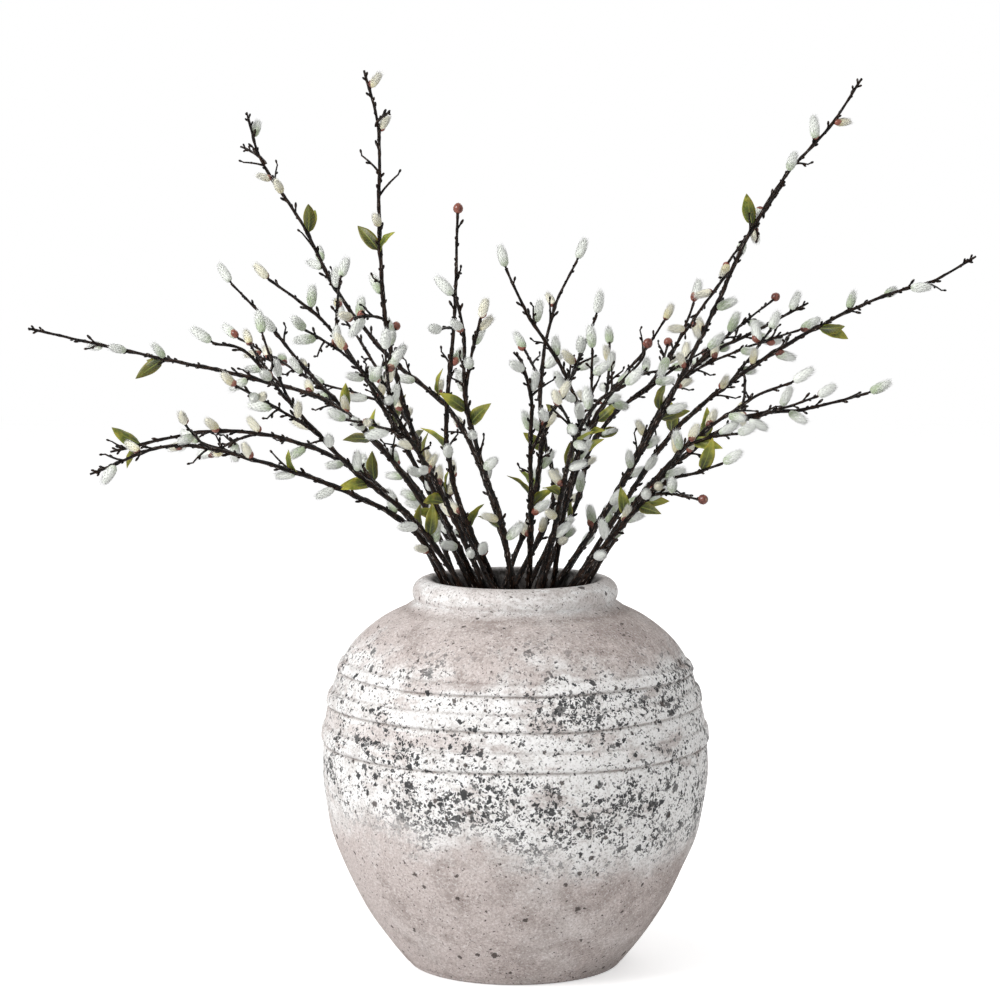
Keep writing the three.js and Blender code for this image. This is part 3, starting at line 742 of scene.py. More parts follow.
clayLook = {
    # clayDark is the colour of random stains and also of painted shade on the right side of the clay
    "clay": (0.57, 0.5, 0.478, 1), "clayDark": (0.4, 0.34, 0.32, 1), "clayPale": (0.7, 0.65, 0.63, 1),
    "wash": (0.86, 0.85, 0.843, 1), "washGrey": (0.66, 0.635, 0.62, 1), "grain": (0.26, 0.22, 0.2, 1),
    "chip": (0.024, 0.025, 0.027, 1), "chipPale": (0.19, 0.187, 0.184, 1), "pit": (0.06, 0.047, 0.042, 1),
    # Two of these colours are painted shade: the one for the grooves by the bands and under the lip, partly
    # dirt, and the one for inside the mouth
    "creaseShade": (0.18, 0.14, 0.12, 1), "insideShade": (0.022, 0.019, 0.017, 1), "roughness": 0.92,
    # scale of the cells, the bars that a cell has to pass where chips are sparse and where they are
    # thick, and whether a gap parts them
    "chipSizes": [
        (135, 0.988, 0.83, True), (225, 0.975, 0.6, True), (370, 0.955, 0.68, True),
        (620, 0.96, 0.9, False),
    ],
    "pitSizes": [(62, 0.965), (105, 0.91), (240, 0.8), (480, 0.79)],   # scale and how rare
    # heights in metres: the wash's foot, which falls by washFootSlope to the right, its top, the worn strip
    # between the lower two bands, the belt of chips below the bands and the one between the upper two
    "washFoot": 0.139, "washFootSlope": 0.09, "washTop": 0.321,
    "wornStrip": 0.249, "lowBelt": 0.185, "highBelt": 0.281,
}


def blendValue(tree, factor, a, b):
    # a where factor is 0 and b where it is 1
    return addUp(tree, a, (calc(tree, "SUBTRACT", b, a), factor))


def farFrom(tree, value, middle):
    # how far a value lies from the middle
    return calc(tree, "ABSOLUTE", calc(tree, "SUBTRACT", value, middle))


def addUp(tree, base, *terms):
    # base plus each value times its weight
    for value, weight in terms:
        base = calc(tree, "ADD", base, calc(tree, "MULTIPLY", value, weight))
    return base


def clayFinish():
    material, tree, shader = newFinish("weathered_whitewash", clayLook["roughness"])
    place = addNode(tree, "ShaderNodeTexCoord").outputs["Object"]
    x, _, z = split3(tree, place)
    # The first and last channels of the spot say where painted shade goes: the grooves, and inside the mouth
    creaseShade, onLip, insideShade = split3(tree, attribute(tree, "claySpot", "Vector"))
    broad, ragged = noise(tree, place, 7, 3), noise(tree, place, 30, 6, 0.68)
    fine = noise(tree, place, 170, 4, 0.7)
    sand = noise(tree, place, 430, 3, 0.8)
    # Where the whitewash lies: from the shoulder down to a soft ragged edge, lower on the right
    level = addUp(tree, z, (broad, 0.09), (ragged, 0.07), (fine, 0.014))
    level = calc(tree, "SUBTRACT", level, 0.087)   # what the three noises add on the whole
    foot = addUp(tree, level, (x, clayLook["washFootSlope"]))
    low = rise(tree, foot, clayLook["washFoot"] - 0.022, clayLook["washFoot"] + 0.026)
    top = rise(tree, level, clayLook["washTop"] + 0.012, clayLook["washTop"] - 0.022)
    between = rise(tree, farFrom(tree, z, clayLook["wornStrip"]), 0.012, 0.003)
    leftward = rise(tree, x, 0.03, -0.07)
    worn = addUp(tree, noise(tree, scaled(tree, place, (1, 1, 2.4)), 15, 5, 0.62), (fine, 0.1),
                 (calc(tree, "MULTIPLY", between, leftward), 0.16))
    worn = rise(tree, worn, 0.58, 0.68)
    washed = calc(tree, "MULTIPLY", calc(tree, "MULTIPLY", low, top),
                  calc(tree, "SUBTRACT", 1.0, calc(tree, "MULTIPLY", worn, 0.7)))
    streaks = rise(tree, noise(tree, scaled(tree, place, (1, 1, 3)), 26, 5, 0.7), 0.42, 0.7)
    washed = calc(tree, "MAXIMUM", washed, calc(tree, "MULTIPLY", onLip, addUp(tree, 0.4, (streaks, 0.8))))
    # Random stains, and painted shade that darkens the clay towards the right
    stainsAndRightShade = rise(tree, addUp(tree, noise(tree, place, 18, 7, 0.8), (x, 0.35)), 0.44, 0.58)
    clay = blend(tree, stainsAndRightShade, clayLook["clay"], clayLook["clayDark"])
    bloom = rise(tree, noise(tree, scaled(tree, place, (1, 1, 1.6)), 9, 4, 0.6), 0.5, 0.68)
    clay = blend(tree, calc(tree, "MULTIPLY", bloom, 0.6), clay, clayLook["clayPale"])
    greyness = rise(tree, addUp(tree, noise(tree, place, 55, 5, 0.68), (x, -0.35)), 0.47, 0.68)
    color = blend(tree, washed, clay, blend(tree, greyness, clayLook["wash"], clayLook["washGrey"]))
    # Chips: angular cells of warped cell patterns at four sizes, in clusters, thickest on the bands, in a
    # belt below them and towards the right
    warp = addNode(tree, "ShaderNodeTexNoise", None, {"Vector": place, "Scale": 330.0, "Detail": 2.0})
    bent = addNode(tree, "ShaderNodeVectorMath", {"operation": "MULTIPLY_ADD"},
                   {0: warp.outputs["Color"], 1: (0.005, 0.005, 0.005), 2: place}).outputs[0]
    belt = rise(tree, farFrom(tree, addUp(tree, z, (x, 0.1)), clayLook["lowBelt"]), 0.05, 0.0)
    high = rise(tree, farFrom(tree, z, clayLook["highBelt"]), 0.02, 0.006)
    high = calc(tree, "MULTIPLY", high, rise(tree, x, -0.09, 0.03))
    edge = rise(tree, level, clayLook["washTop"] - 0.045, clayLook["washTop"] - 0.01)
    cluster = noise(tree, scaled(tree, place, (1, 1, 1.5)), 15, 5, 0.7)
    cluster = addUp(tree, cluster, (x, 0.11), (belt, 0.05), (high, 0.06), (edge, -0.045))
    zone = calc(tree, "MULTIPLY", rise(tree, foot, clayLook["washFoot"] - 0.02, clayLook["washFoot"] + 0.034),
                rise(tree, level, clayLook["washTop"] + 0.03, clayLook["washTop"] - 0.02))
    chips, pale = None, None
    for scale, sparse, thick, apart in clayLook["chipSizes"]:
        _, pick, shade = cells(tree, bent, scale)
        here = calc(tree, "GREATER_THAN", pick, rise(tree, cluster, 0.46, 0.64, sparse, thick))
        if apart:
            here = calc(tree, "MULTIPLY", here, rise(tree, cellGap(tree, bent, scale), 0.06, 0.08))
        pale = shade if pale is None else blendValue(tree, here, pale, shade)
        chips = here if chips is None else calc(tree, "MAXIMUM", chips, here)
    chips = calc(tree, "MULTIPLY", chips, zone)
    # Painted shade, partly dirt, along the grooves by the bands and under the lip
    shadeLines = calc(tree, "MULTIPLY", creaseShade, rise(tree, ragged, 0.3, 0.6, 0.25, 0.75), True)
    color = blend(tree, shadeLines, color, clayLook["creaseShade"])
    color = blend(tree, rise(tree, sand, 0.36, 0.5, 0.5, 0.0), color, clayLook["grain"])
    color = blend(tree, rise(tree, sand, 0.53, 0.66, 0.0, 0.5), color, clayLook["wash"])
    paleness = rise(tree, addUp(tree, pale, (fine, 0.5)), 0.75, 1.25)
    chipColor = blend(tree, paleness, clayLook["chip"], clayLook["chipPale"])
    color = blend(tree, calc(tree, "MULTIPLY", chips, 0.95), color, chipColor)
    # Small dark pits all over, the finer ones thicker at the foot and on the lip
    often = addUp(tree, 0.0, (rise(tree, z, 0.02, 0.0), 0.22), (onLip, 0.1))
    pits = None
    for scale, rare in clayLook["pitSizes"]:
        middle, _, pick = cells(tree, bent, scale)
        near = rise(tree, middle, 0.27, 0.19)
        bar = calc(tree, "SUBTRACT", rare, often) if scale > 150 else rare
        here = calc(tree, "MULTIPLY", near, calc(tree, "GREATER_THAN", pick, bar))
        pits = here if pits is None else calc(tree, "MAXIMUM", pits, here)
    color = blend(tree, calc(tree, "MULTIPLY", pits, 0.88), color, clayLook["pit"])
    # Painted shade inside the mouth and over the lip's inner part, in lengthwise streaks
    runs = noise(tree, scaled(tree, place, (1, 1, 0.12)), 60, 4, 0.7)
    dark = calc(tree, "MULTIPLY", insideShade, rise(tree, addUp(tree, runs, (fine, 0.4)), 0.6, 0.82, 1.0, 0.78))
    color = blend(tree, dark, color, clayLook["insideShade"])
    tree.links.new(color, shader.inputs["Base Color"])
    bump(tree, shader, addUp(tree, 0.0, (sand, 0.8), (ragged, 0.5), (fine, 0.4)), 0.0016, 0.8)
    shader.inputs["Specular IOR Level"].default_value = 0.2
    return material


makeVase(clayFinish())

# Bark
barkLook = {
    # The palest colour is for painted glints that stand in for highlights
    "dark": (0.0016, 0.001, 0.0008, 1), "light": (0.045, 0.023, 0.014, 1), "glint": (0.36, 0.3, 0.265, 1),
    "roughness": 0.2,
}


def barkFinish():
    material, tree, shader = newFinish("dark_bark", barkLook["roughness"])
    spot = attribute(tree, "barkSpot", "Vector")
    fibres = noise(tree, scaled(tree, spot, (2.2, 2.2, 0.12)), 1.0, 4, 0.7)
    patches = noise(tree, scaled(tree, spot, (0.8, 0.8, 0.06)), 1.0, 3, 0.6)
    mixed = calc(tree, "MULTIPLY", rise(tree, fibres, 0.46, 0.58), rise(tree, patches, 0.36, 0.56))
    color = blend(tree, mixed, barkLook["dark"], barkLook["light"])
    # Painted glints: small pale lengthwise flecks in the colour that stand in for highlights, and that also
    # raise the bump
    middle, pick, _ = cells(tree, scaled(tree, spot, (2.4, 2.4, 0.15)), 1.0)
    near = rise(tree, middle, 0.36, 0.24)
    glints = calc(tree, "MULTIPLY", near, rise(tree, pick, 0.78, 0.84))
    tree.links.new(blend(tree, calc(tree, "MULTIPLY", glints, 0.8), color, barkLook["glint"]),
                   shader.inputs["Base Color"])
    bump(tree, shader, addUp(tree, fibres, (glints, 0.3), (patches, 0.4)), 0.002, 1.0)
    shader.inputs["Specular IOR Level"].default_value = 0.15
    return material


def sweptRows(rows, radii, bearings, sides):
    # Round rods: point(s, a) = row(s) + radius(s, a) (first cos a + second sin a), with the radius fluted
    # by a slow twist. Each rod's pattern starts elsewhere.
    first, second = sidesOf(unit(np.gradient(rows, axis=1)), bearings[:, None])
    turn = np.linspace(0, 2 * np.pi, sides, endpoint=False)[None, None]
    reach = np.cumsum(np.linalg.norm(np.diff(rows, axis=1, prepend=rows[:, :1]), axis=2), axis=1)[..., None]
    low = stemSet["flute"]
    flute = 1 + low * np.sin(2 * turn + reach / 30) + low * np.sin(3 * turn - reach / 9 + 1)
    radius = radii[..., None] * (flute + low * np.sin(reach / 3.3 + turn))
    rings = (
        rows[:, :, None] + first[:, :, None] * (radius * np.cos(turn))[..., None]
        + second[:, :, None] * (radius * np.sin(turn))[..., None]
    )
    shape = closedShells(rings, rows[:, 0], rows[:, -1])
    around = np.stack([np.cos(turn) + 0 * reach, np.sin(turn) + 0 * reach, reach + 0 * turn], axis=-1)
    ends = np.stack([around[:, 0, 0], around[:, -1, 0]], axis=1)
    spot = np.concatenate([around.reshape(len(rows), -1, 3), ends], axis=1)
    spot = spot + np.arange(len(rows))[:, None, None] * 173 * np.array([0, 0, 1.0])
    return shape, spot.reshape(-1, 3)


def makeStems(material):
    # Each shoot swells a little where something grows from it, and at knots
    shapes, spots = [], []
    for isTwig in (False, True):
        group = [s for s in shoots if s["isTwig"] == isTwig]
        rows, radii = [], []
        for shoot in group:
            fine = shoot["fine"]
            share = np.linspace(0, 1, len(fine))
            slim = stemSet["twigRadius"] + (stemSet["tipRadius"] - stemSet["twigRadius"]) * share
            radius = slim if isTwig else dressedAt(share)
            bears = np.array([g["share"] for g in grown if g["shoot"] is shoot] + [-1.0])
            buds = np.array([share for share, _, _ in shoot["nubs"]] + [-1.0])
            each = np.arange(stemSet["knots"])
            knots = (each + 0.8 * draw(each + shoot["seed"], golden)) / stemSet["knots"]
            for joints, (swell, span) in zip((bears, buds, knots), stemSet["swells"]):
                apart = (share[:, None] - joints[None]) * reachOf(fine)[-1] / span
                radius = radius * (1 + swell * np.exp(-(apart**2)).max(axis=1))
            if not isTwig:
                buried = spaced(shoot["buried"], stemSet["fineHidden"])[:-1]
                fine = np.vstack([buried, fine])
                radius = np.concatenate([np.full(len(buried), radius[0]), radius])
            rows.append(fine)
            radii.append(radius)
        sides = stemSet["twigSides"] if isTwig else stemSet["stemSides"]
        bearings = np.array([s["bearing"] for s in group])
        shape, spot = sweptRows(np.array(rows), np.array(radii), bearings, sides)
        shapes.append(shape)
        spots.append(spot)
    piece = makePiece("willow_stems", joined(shapes), material, {"barkSpot": np.concatenate(spots)})
    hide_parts(*[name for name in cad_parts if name.startswith("branch_")])


nubSet = {
    "every": 18.0, "start": 50, "twigStart": 10, "length": 9.2, "width": 2.9, "forks": (8, 11, 16),
    "lean": (20, 22), "knobEvery": 9.0, "knobLength": 4.2, "knobWidth": 2.0,
    "pegShare": 0.22, "pegWidth": 3.7, "spurBudLength": 6.5, "spurBudWidth": 2.5,
    "spurEvery": 76.0, "spurStart": 130, "spurLength": (12, 18), "spurWidth": 2.7, "spurBow": 0.16,
    "spurLean": (30, 18), "spurMargin": 3, "spurFromTip": 12,
}


def nubsOf(shoot):
    # The bare spurs of a shoot: share along it, turn round it and size. Most sit apart by the golden turn,
    # some in pairs, and a bare tip ends in a fork of small ones.
    length = reachOf(shoot["fine"])[-1]
    begin = nubSet["twigStart"] if shoot["isTwig"] else nubSet["start"]
    count = np.arange(int((length - begin - 18) / nubSet["every"]) + 1)
    at = begin + (count + 0.7 * draw(count + shoot["seed"] + 1.0, plasticSquare)) * nubSet["every"]
    turn = (count + shoot["seed"]) * goldenTurn + 70
    size = 0.5 + 0.65 * draw(count + shoot["seed"] + 1.0, plastic)
    found = [(a / length, t, s) for a, t, s in zip(at, turn, size) if a < length - 6]
    found += [(a + 2.5 / length, t + 150, s * 0.7) for a, t, s in found[1::4] if a < 0.9]
    if shoot["end"] == "bare":
        found += [(1 - back / length, 90 + 180 * i, 0.5) for i, back in enumerate(nubSet["forks"])]
    return found


for shoot in shoots:
    shoot["nubs"] = nubsOf(shoot)


def ovoids(places, aims, acrosses, lengths, widths, profile, sides, bow=0.0, lump=0.0):
    # Turned shapes: point(t, a) = place + aim length t + half width f(t) (third cos a + across sin a),
    # where profile lists t and f, bow bends the axis by t^2 and lump is a low three-sided wave. A fan
    # closes it at t = 0.975.
    t = np.array([p[0] for p in profile])[None, :, None]
    f = np.array([p[1] for p in profile])[None, :, None]
    turn = np.linspace(0, 2 * np.pi, sides, endpoint=False)[None, None]
    thirds = np.cross(acrosses, aims)
    size = widths[:, None, None] / 2
    phase = np.arange(len(places))[:, None, None] * 2.4
    radius = size * f * (1 + lump * np.sin(3 * turn + 5 * t + phase))
    along = lengths[:, None, None] * t
    lift = lengths[:, None, None] * bow * t**2
    rings = (
        places[:, None, None] + aims[:, None, None] * (along + 0 * turn)[..., None]
        + thirds[:, None, None] * (radius * np.cos(turn) + lift)[..., None]
        + acrosses[:, None, None] * (radius * np.sin(turn))[..., None]
    )
    tips = places + aims * (lengths * 0.975)[:, None] + thirds * (lengths * bow * 0.95)[:, None]
    feet = places + aims * (lengths * profile[0][0])[:, None]
    return closedShells(rings, feet, tips)


def gather(kinds):
    picked = [g for g in grown if g["kind"] in kinds]
    keys = ("place", "aim", "across", "length", "width")
    return {key: np.array([g[key] for g in picked]) for key in keys}


def ovoidsOf(items, profile, sides, bow=0.0):
    # Ovoids from a list of place, aim, across, length and width
    places, aims, acrosses, lengths, widths = (np.array(values) for values in zip(*items))
    return ovoids(places, aims, acrosses, lengths, widths, profile, sides, bow)


def knobsOf():
    # Small buds pressed close to the stems: half sunk grains that step round the shoot by the golden turn
    items = []
    for shoot in shoots:
        length = reachOf(shoot["fine"])[-1]
        count = int(length / nubSet["knobEvery"])
        for i in range(count):
            reach = length * (i + 0.8 * draw(i + shoot["seed"], plasticSquare)) / count
            at, way = alongRow(shoot["fine"], reach)
            first, second = sidesOf(way, shoot["bearing"])
            around = np.radians(i * goldenTurn + 40)
            side = first * np.cos(around) + second * np.sin(around)
            thick = stemSet["twigRadius"] if shoot["isTwig"] else dressedAt(i / count)
            size = (0.7 + 0.6 * draw(i + shoot["seed"], goldenSquare)) * (0.6 + 0.16 * thick)
            items.append((at + side * thick * 0.72, way * 0.93 + side * 0.37, np.cross(way, side),
                          nubSet["knobLength"] * size, nubSet["knobWidth"] * size))
    return ovoidsOf(items, [(0.06, 0.5), (0.35, 1.0), (0.72, 0.8)], 5)


def spursOf():
    # Short bare side twigs: slender rods that bend by t^2, each with a bud near its middle and one at its
    # end. A twig that would leave the solids' box is left out.
    low = np.array(cadBox[0]) / mm + nubSet["spurMargin"]
    high = np.array(cadBox[1]) / mm - nubSet["spurMargin"]
    rods, buds = [], []
    for shoot in shoots:
        length = reachOf(shoot["fine"])[-1]
        begin = nubSet["twigStart"] + 8 if shoot["isTwig"] else nubSet["spurStart"]
        for i in range(int((length - begin) / nubSet["spurEvery"] + 0.7)):
            seed = i * 3.7 + shoot["seed"]
            reach = begin + (i + 0.8 * draw(seed, plasticSquare)) * nubSet["spurEvery"]
            long = fromPair(nubSet["spurLength"], draw(seed, plastic))
            if reach > length - nubSet["spurFromTip"]:
                continue
            at = alongRow(shoot["fine"], reach)
            lean = fromPair(nubSet["spurLean"], draw(seed, goldenSquare))
            rod = growthAt("catkin", at, shoot["bearing"], seed * goldenTurn, 1, lean)
            end = rod["place"] + rod["aim"] * long * 1.4
            if (end > high).any() or (end < low).any():
                continue
            third = np.cross(rod["across"], rod["aim"])
            rods.append((rod["place"], rod["aim"], rod["across"], long, nubSet["spurWidth"]))
            for t, tilt in ((0.45, 0.7), (0.95, -0.4)):
                spot = rod["place"] + rod["aim"] * long * t + third * long * nubSet["spurBow"] * t**2
                inPlane, outOfPlane = (0.5, 1.0) if i % 2 else (1.0, 0.3)
                aim = unit(rod["aim"] + third * tilt * inPlane + rod["across"] * tilt * outOfPlane)
                buds.append((spot, aim, unit(np.cross(aim, third)),
                             nubSet["spurBudLength"], nubSet["spurBudWidth"]))
    rodShape = [(0.0, 1.0), (0.3, 0.8), (0.6, 0.74), (0.85, 0.66), (0.97, 0.6)]
    budShape = [(0.0, 0.6), (0.4, 0.62), (0.62, 1.0), (0.84, 0.86), (0.95, 0.45)]
    return joined([ovoidsOf(rods, rodShape, 6, nubSet["spurBow"]), ovoidsOf(buds, budShape, 6)])


def makeNubs(material):
    # Spurs along every shoot: a short neck and a small pointed bud, and the pegs that carry catkins and
    # round buds
    items = []
    for shoot in shoots:
        length = reachOf(shoot["fine"])[-1]
        for share, turn, size in shoot["nubs"]:
            at = alongRow(shoot["fine"], share * length)
            lean = fromPair(nubSet["lean"], draw(turn, smallStep))
            nub = growthAt("catkin", at, shoot["bearing"], turn, 1, lean)
            items.append((nub["place"], nub["aim"], nub["across"],
                          nubSet["length"] * size + 2.4, nubSet["width"] * (0.7 + 0.3 * size)))
    nubs = ovoidsOf(items, [(0.0, 0.7), (0.48, 0.62), (0.62, 0.98), (0.82, 0.9), (0.95, 0.5)], 6)
    held = gather(("catkin", "cream", "round"))
    pegShape = [(0.0, 0.6), (0.5, 0.56), (0.78, 0.85), (0.96, 1.0)]
    pegs = ovoids(held["place"], held["aim"], held["across"], held["length"] * nubSet["pegShare"],
                  np.full(len(held["place"]), nubSet["pegWidth"]), pegShape, 6)
    shape = joined([nubs, pegs, knobsOf(), spursOf()])
    makePiece("bark_spurs", shape, material, {"barkSpot": shape[0] * 0.4})


# Catkins
catkinSet = {
    "profile": [
        (0.17, 0.44), (0.24, 0.68), (0.37, 0.82), (0.55, 0.83), (0.73, 0.7), (0.88, 0.44), (0.95, 0.22),
    ],
    "sides": 9, "bow": 0.05, "hairs": 84, "hairLength": 4.8, "hairWidth": 0.75,
    "furFrom": 0.2, "furSpan": 0.75, "furPower": 0.9, "colorFrom": 0.17, "colorSpan": 0.8,
}
catkinLook = {
    "catkin": {"foot": (0.4, 0.48, 0.31, 1), "tip": (0.82, 0.845, 0.79, 1), "frost": (0.98, 0.985, 0.97, 1)},
    "cream": {"foot": (0.64, 0.58, 0.33, 1), "tip": (0.88, 0.85, 0.68, 1), "frost": (0.98, 0.97, 0.9, 1)},
    "roughness": 0.95,
}


def furFinish(name, look):
    material, tree, shader = newFinish(name, catkinLook["roughness"])
    along, tone, hair = split3(tree, attribute(tree, "furSpot", "Vector"))
    place = addNode(tree, "ShaderNodeTexCoord").outputs["Object"]
    strands = noise(tree, scaled(tree, attribute(tree, "furPlace", "Vector"), (5.0, 5.0, 0.35)), 1.0, 3, 0.7)
    clumps = noise(tree, place, 300, 3, 0.6)
    silver = addUp(tree, calc(tree, "SUBTRACT", along, 1.05), (clumps, 0.8), (tone, 0.9), (strands, 0.6))
    color = blend(tree, rise(tree, silver, 0.0, 0.65), look["foot"], look["tip"])
    hair = calc(tree, "MULTIPLY", hair, rise(tree, along, 0.0, 0.6, 0.45, 1.0))
    white = calc(tree, "MAXIMUM", hair, rise(tree, strands, 0.5, 0.72, 0.0, 0.6))
    color = blend(tree, white, color, look["frost"])
    tree.links.new(color, shader.inputs["Base Color"])
    bump(tree, shader, strands, 0.0009, 0.8)
    shader.inputs["Sheen Weight"].default_value = 0.9
    shader.inputs["Sheen Roughness"].default_value = 0.4
    shader.inputs["Specular IOR Level"].default_value = 0.15
    return material


def hairs(held, seedShift):
    # Tufts of fur as fine closed spikes: tuft j of a catkin stands at t_j and near the golden turn, on the
    # ovoid's surface, and lies towards the tip
    count = catkinSet["hairs"]
    j = np.arange(count)
    order = (j + 1.0 - draw(j + 1.0, plasticSquare)) / count
    t = catkinSet["furFrom"] + catkinSet["furSpan"] * order ** catkinSet["furPower"]
    f = np.interp(t, [p[0] for p in catkinSet["profile"]], [p[1] for p in catkinSet["profile"]])
    copies = len(held["place"])
    turn = (np.radians(j * goldenTurn) + 1.6 * draw(j + 2.0, goldenSquare))[None]
    turn = turn + np.arange(copies)[:, None] * 1.3 + seedShift
    third = np.cross(held["across"], held["aim"])
    out = third[:, None] * np.cos(turn)[..., None] + held["across"][:, None] * np.sin(turn)[..., None]
    lift = held["length"][:, None] * catkinSet["bow"] * t[None] ** 2
    root = (
        held["place"][:, None] + held["aim"][:, None] * (held["length"][:, None] * t[None])[..., None]
        + third[:, None] * lift[..., None]
        + out * (held["width"][:, None] / 2 * f[None] * 0.94)[..., None]
    )
    grow = unit(out * (0.22 - 0.06 * t[None, :, None]) + held["aim"][:, None])
    side = unit(np.cross(grow, out))
    up = np.cross(side, grow)
    length = catkinSet["hairLength"] * (0.7 + 0.6 * draw(j + 1.0, golden))[None, :, None]
    length = length * np.where(t > 0.88, 0.4, 1.0)[None, :, None]
    half = catkinSet["hairWidth"] / 2
    corners = [root + side * half, root - side * half, root + up * half * 1.4]
    points = np.stack(corners + [root + grow * length], axis=2).reshape(-1, 4, 3)
    faces = np.array([[0, 1, 2], [1, 0, 3], [2, 1, 3], [0, 2, 3]])
    tris = (faces[None] + np.arange(len(points))[:, None, None] * 4).reshape(-1, 3)
    return points.reshape(-1, 3), np.zeros((0, 4), int), tris


def makeCatkins(kind, name, tones):
    held = gather((kind,))
    body = ovoids(held["place"], held["aim"], held["across"], held["length"], held["width"],
                  catkinSet["profile"], catkinSet["sides"], catkinSet["bow"], 0.05)
    steps, sides = len(catkinSet["profile"]), catkinSet["sides"]
    t = np.array([p[0] for p in catkinSet["profile"]])
    along = (t - catkinSet["colorFrom"]) / catkinSet["colorSpan"]
    along = np.concatenate([np.repeat(along, sides), [0.0, 1.0]])
    copies = len(held["place"])
    tone = draw(np.arange(copies) + tones, golden)
    size = steps * sides + 2
    bodySpot = np.stack([np.tile(along, copies), np.repeat(tone, size), np.zeros(copies * size)], axis=1)
    fur = hairs(held, tones)
    around = np.linspace(0, 2 * np.pi, sides, endpoint=False) + 0 * t[:, None]
    bodyPlace = np.stack([np.cos(around), np.sin(around), 20 * t[:, None] + 0 * around], axis=-1)
    bodyPlace = np.concatenate([bodyPlace.reshape(-1, 3), [[0, 0, 3.0], [0, 0, 20]]])
    bodyPlace = bodyPlace[None] + np.arange(copies)[:, None, None] * np.array([0, 0, 61.0])
    # a tuft's place along for its colour, without the scatter of its root
    j = np.arange(catkinSet["hairs"])
    order = (j + 0.5) / catkinSet["hairs"]
    hairT = catkinSet["furSpan"] * order ** catkinSet["furPower"] / catkinSet["colorSpan"]
    pale = np.tile([0.5, 0.5, 0.55, 0.85], copies * len(j))   # the three corners of a tuft's foot, its tip
    pale = pale + np.tile(np.repeat(0.3 * draw(j + 1.0, plastic), 4), copies)
    hairSpot = np.stack([np.tile(np.repeat(hairT, 4), copies), np.repeat(tone, 4 * len(j)), pale], axis=1)
    spots = {
        "furSpot": np.concatenate([bodySpot, hairSpot]),
        "furPlace": np.concatenate([bodyPlace.reshape(-1, 3), fur[0]]),
    }
    makePiece(name, joined([body, fur]), furFinish(name + "_fur", catkinLook[kind]), spots)


# Bud scales and round buds
budLook = {
    "deep": (0.055, 0.014, 0.01, 1), "warm": (0.25, 0.078, 0.052, 1), "pale": (0.5, 0.3, 0.2, 1),
    "roughness": 0.26,
}
budSet = {
    "length": 0.4, "width": 0.74, "tilt": 20, "from": 0.11, "silverToo": 0.2, "sides": 8, "roundSides": 12,
}


def budFinish():
    material, tree, shader = newFinish("bud_scale", budLook["roughness"])
    along, tone, _ = split3(tree, attribute(tree, "budSpot", "Vector"))
    place = addNode(tree, "ShaderNodeTexCoord").outputs["Object"]
    mottle = noise(tree, place, 300, 3, 0.6)
    warmth = rise(tree, addUp(tree, mottle, (tone, 0.3)), 0.38, 0.8)
    color = blend(tree, warmth, budLook["deep"], budLook["warm"])
    color = blend(tree, calc(tree, "MULTIPLY", rise(tree, along, 0.6, 1.0), 0.6), color, budLook["pale"])
    tree.links.new(color, shader.inputs["Base Color"])
    bump(tree, shader, noise(tree, place, 900, 2, 0.5), 0.0003, 0.4)
    return material


def makeBuds(material):
    # A scale at the foot of each cream catkin and of some silver ones, and the round buds
    cream, silver, buds = gather(("cream",)), gather(("catkin",)), gather(("round",))
    some = draw(np.arange(len(silver["place"])) + 3.0, plastic) < budSet["silverToo"]
    held = {key: np.concatenate([cream[key], silver[key][some]]) for key in cream}
    copies = len(held["place"])
    turn = (np.arange(copies) * np.radians(goldenTurn))[:, None]
    third = np.cross(held["across"], held["aim"])
    side = third * np.cos(turn) + held["across"] * np.sin(turn)
    tilt = np.radians(budSet["tilt"])
    aim = held["aim"] * np.cos(tilt) + side * np.sin(tilt)
    across = np.cross(held["aim"], side)
    start = held["place"] + held["aim"] * (held["length"] * budSet["from"])[:, None]
    profile = [(0.0, 0.35), (0.16, 0.78), (0.42, 1.0), (0.68, 0.86), (0.88, 0.5)]
    scales = ovoids(start, aim, across, held["length"] * budSet["length"], held["width"] * budSet["width"],
                    profile, budSet["sides"])
    roundProfile = [(0.2, 0.3), (0.28, 0.72), (0.42, 0.96), (0.6, 1.0), (0.78, 0.8), (0.92, 0.42)]
    rounds = ovoids(buds["place"], buds["aim"], buds["across"], buds["length"], buds["width"],
                    roundProfile, budSet["roundSides"])

    def spotsOf(count, sides, shares):
        along = np.concatenate([np.repeat(shares, sides), [0.0, 1.0]])
        tone = np.repeat(draw(np.arange(count) + 1.0, golden), len(shares) * sides + 2)
        return np.stack([np.tile(along, count), tone, 0 * tone], axis=1)

    spots = np.concatenate([
        spotsOf(copies, budSet["sides"], np.array([p[0] for p in profile])),
        spotsOf(len(buds["place"]), budSet["roundSides"], np.array([p[0] for p in roundProfile]) * 0.7),
    ])
    makePiece("bud_scales", joined([scales, rounds]), material, {"budSpot": spots})


# Leaves
leafSet = {"steps": 14, "across": 7, "fold": 2.2, "bow": 0.1, "thickness": 0.7, "wave": 0.6}
leafLook = {
    "green": (0.11, 0.145, 0.01, 1), "deep": (0.017, 0.024, 0.003, 1), "yellow": (0.37, 0.36, 0.04, 1),
    "vein": (0.25, 0.28, 0.045, 1), "roughness": 0.42,
}


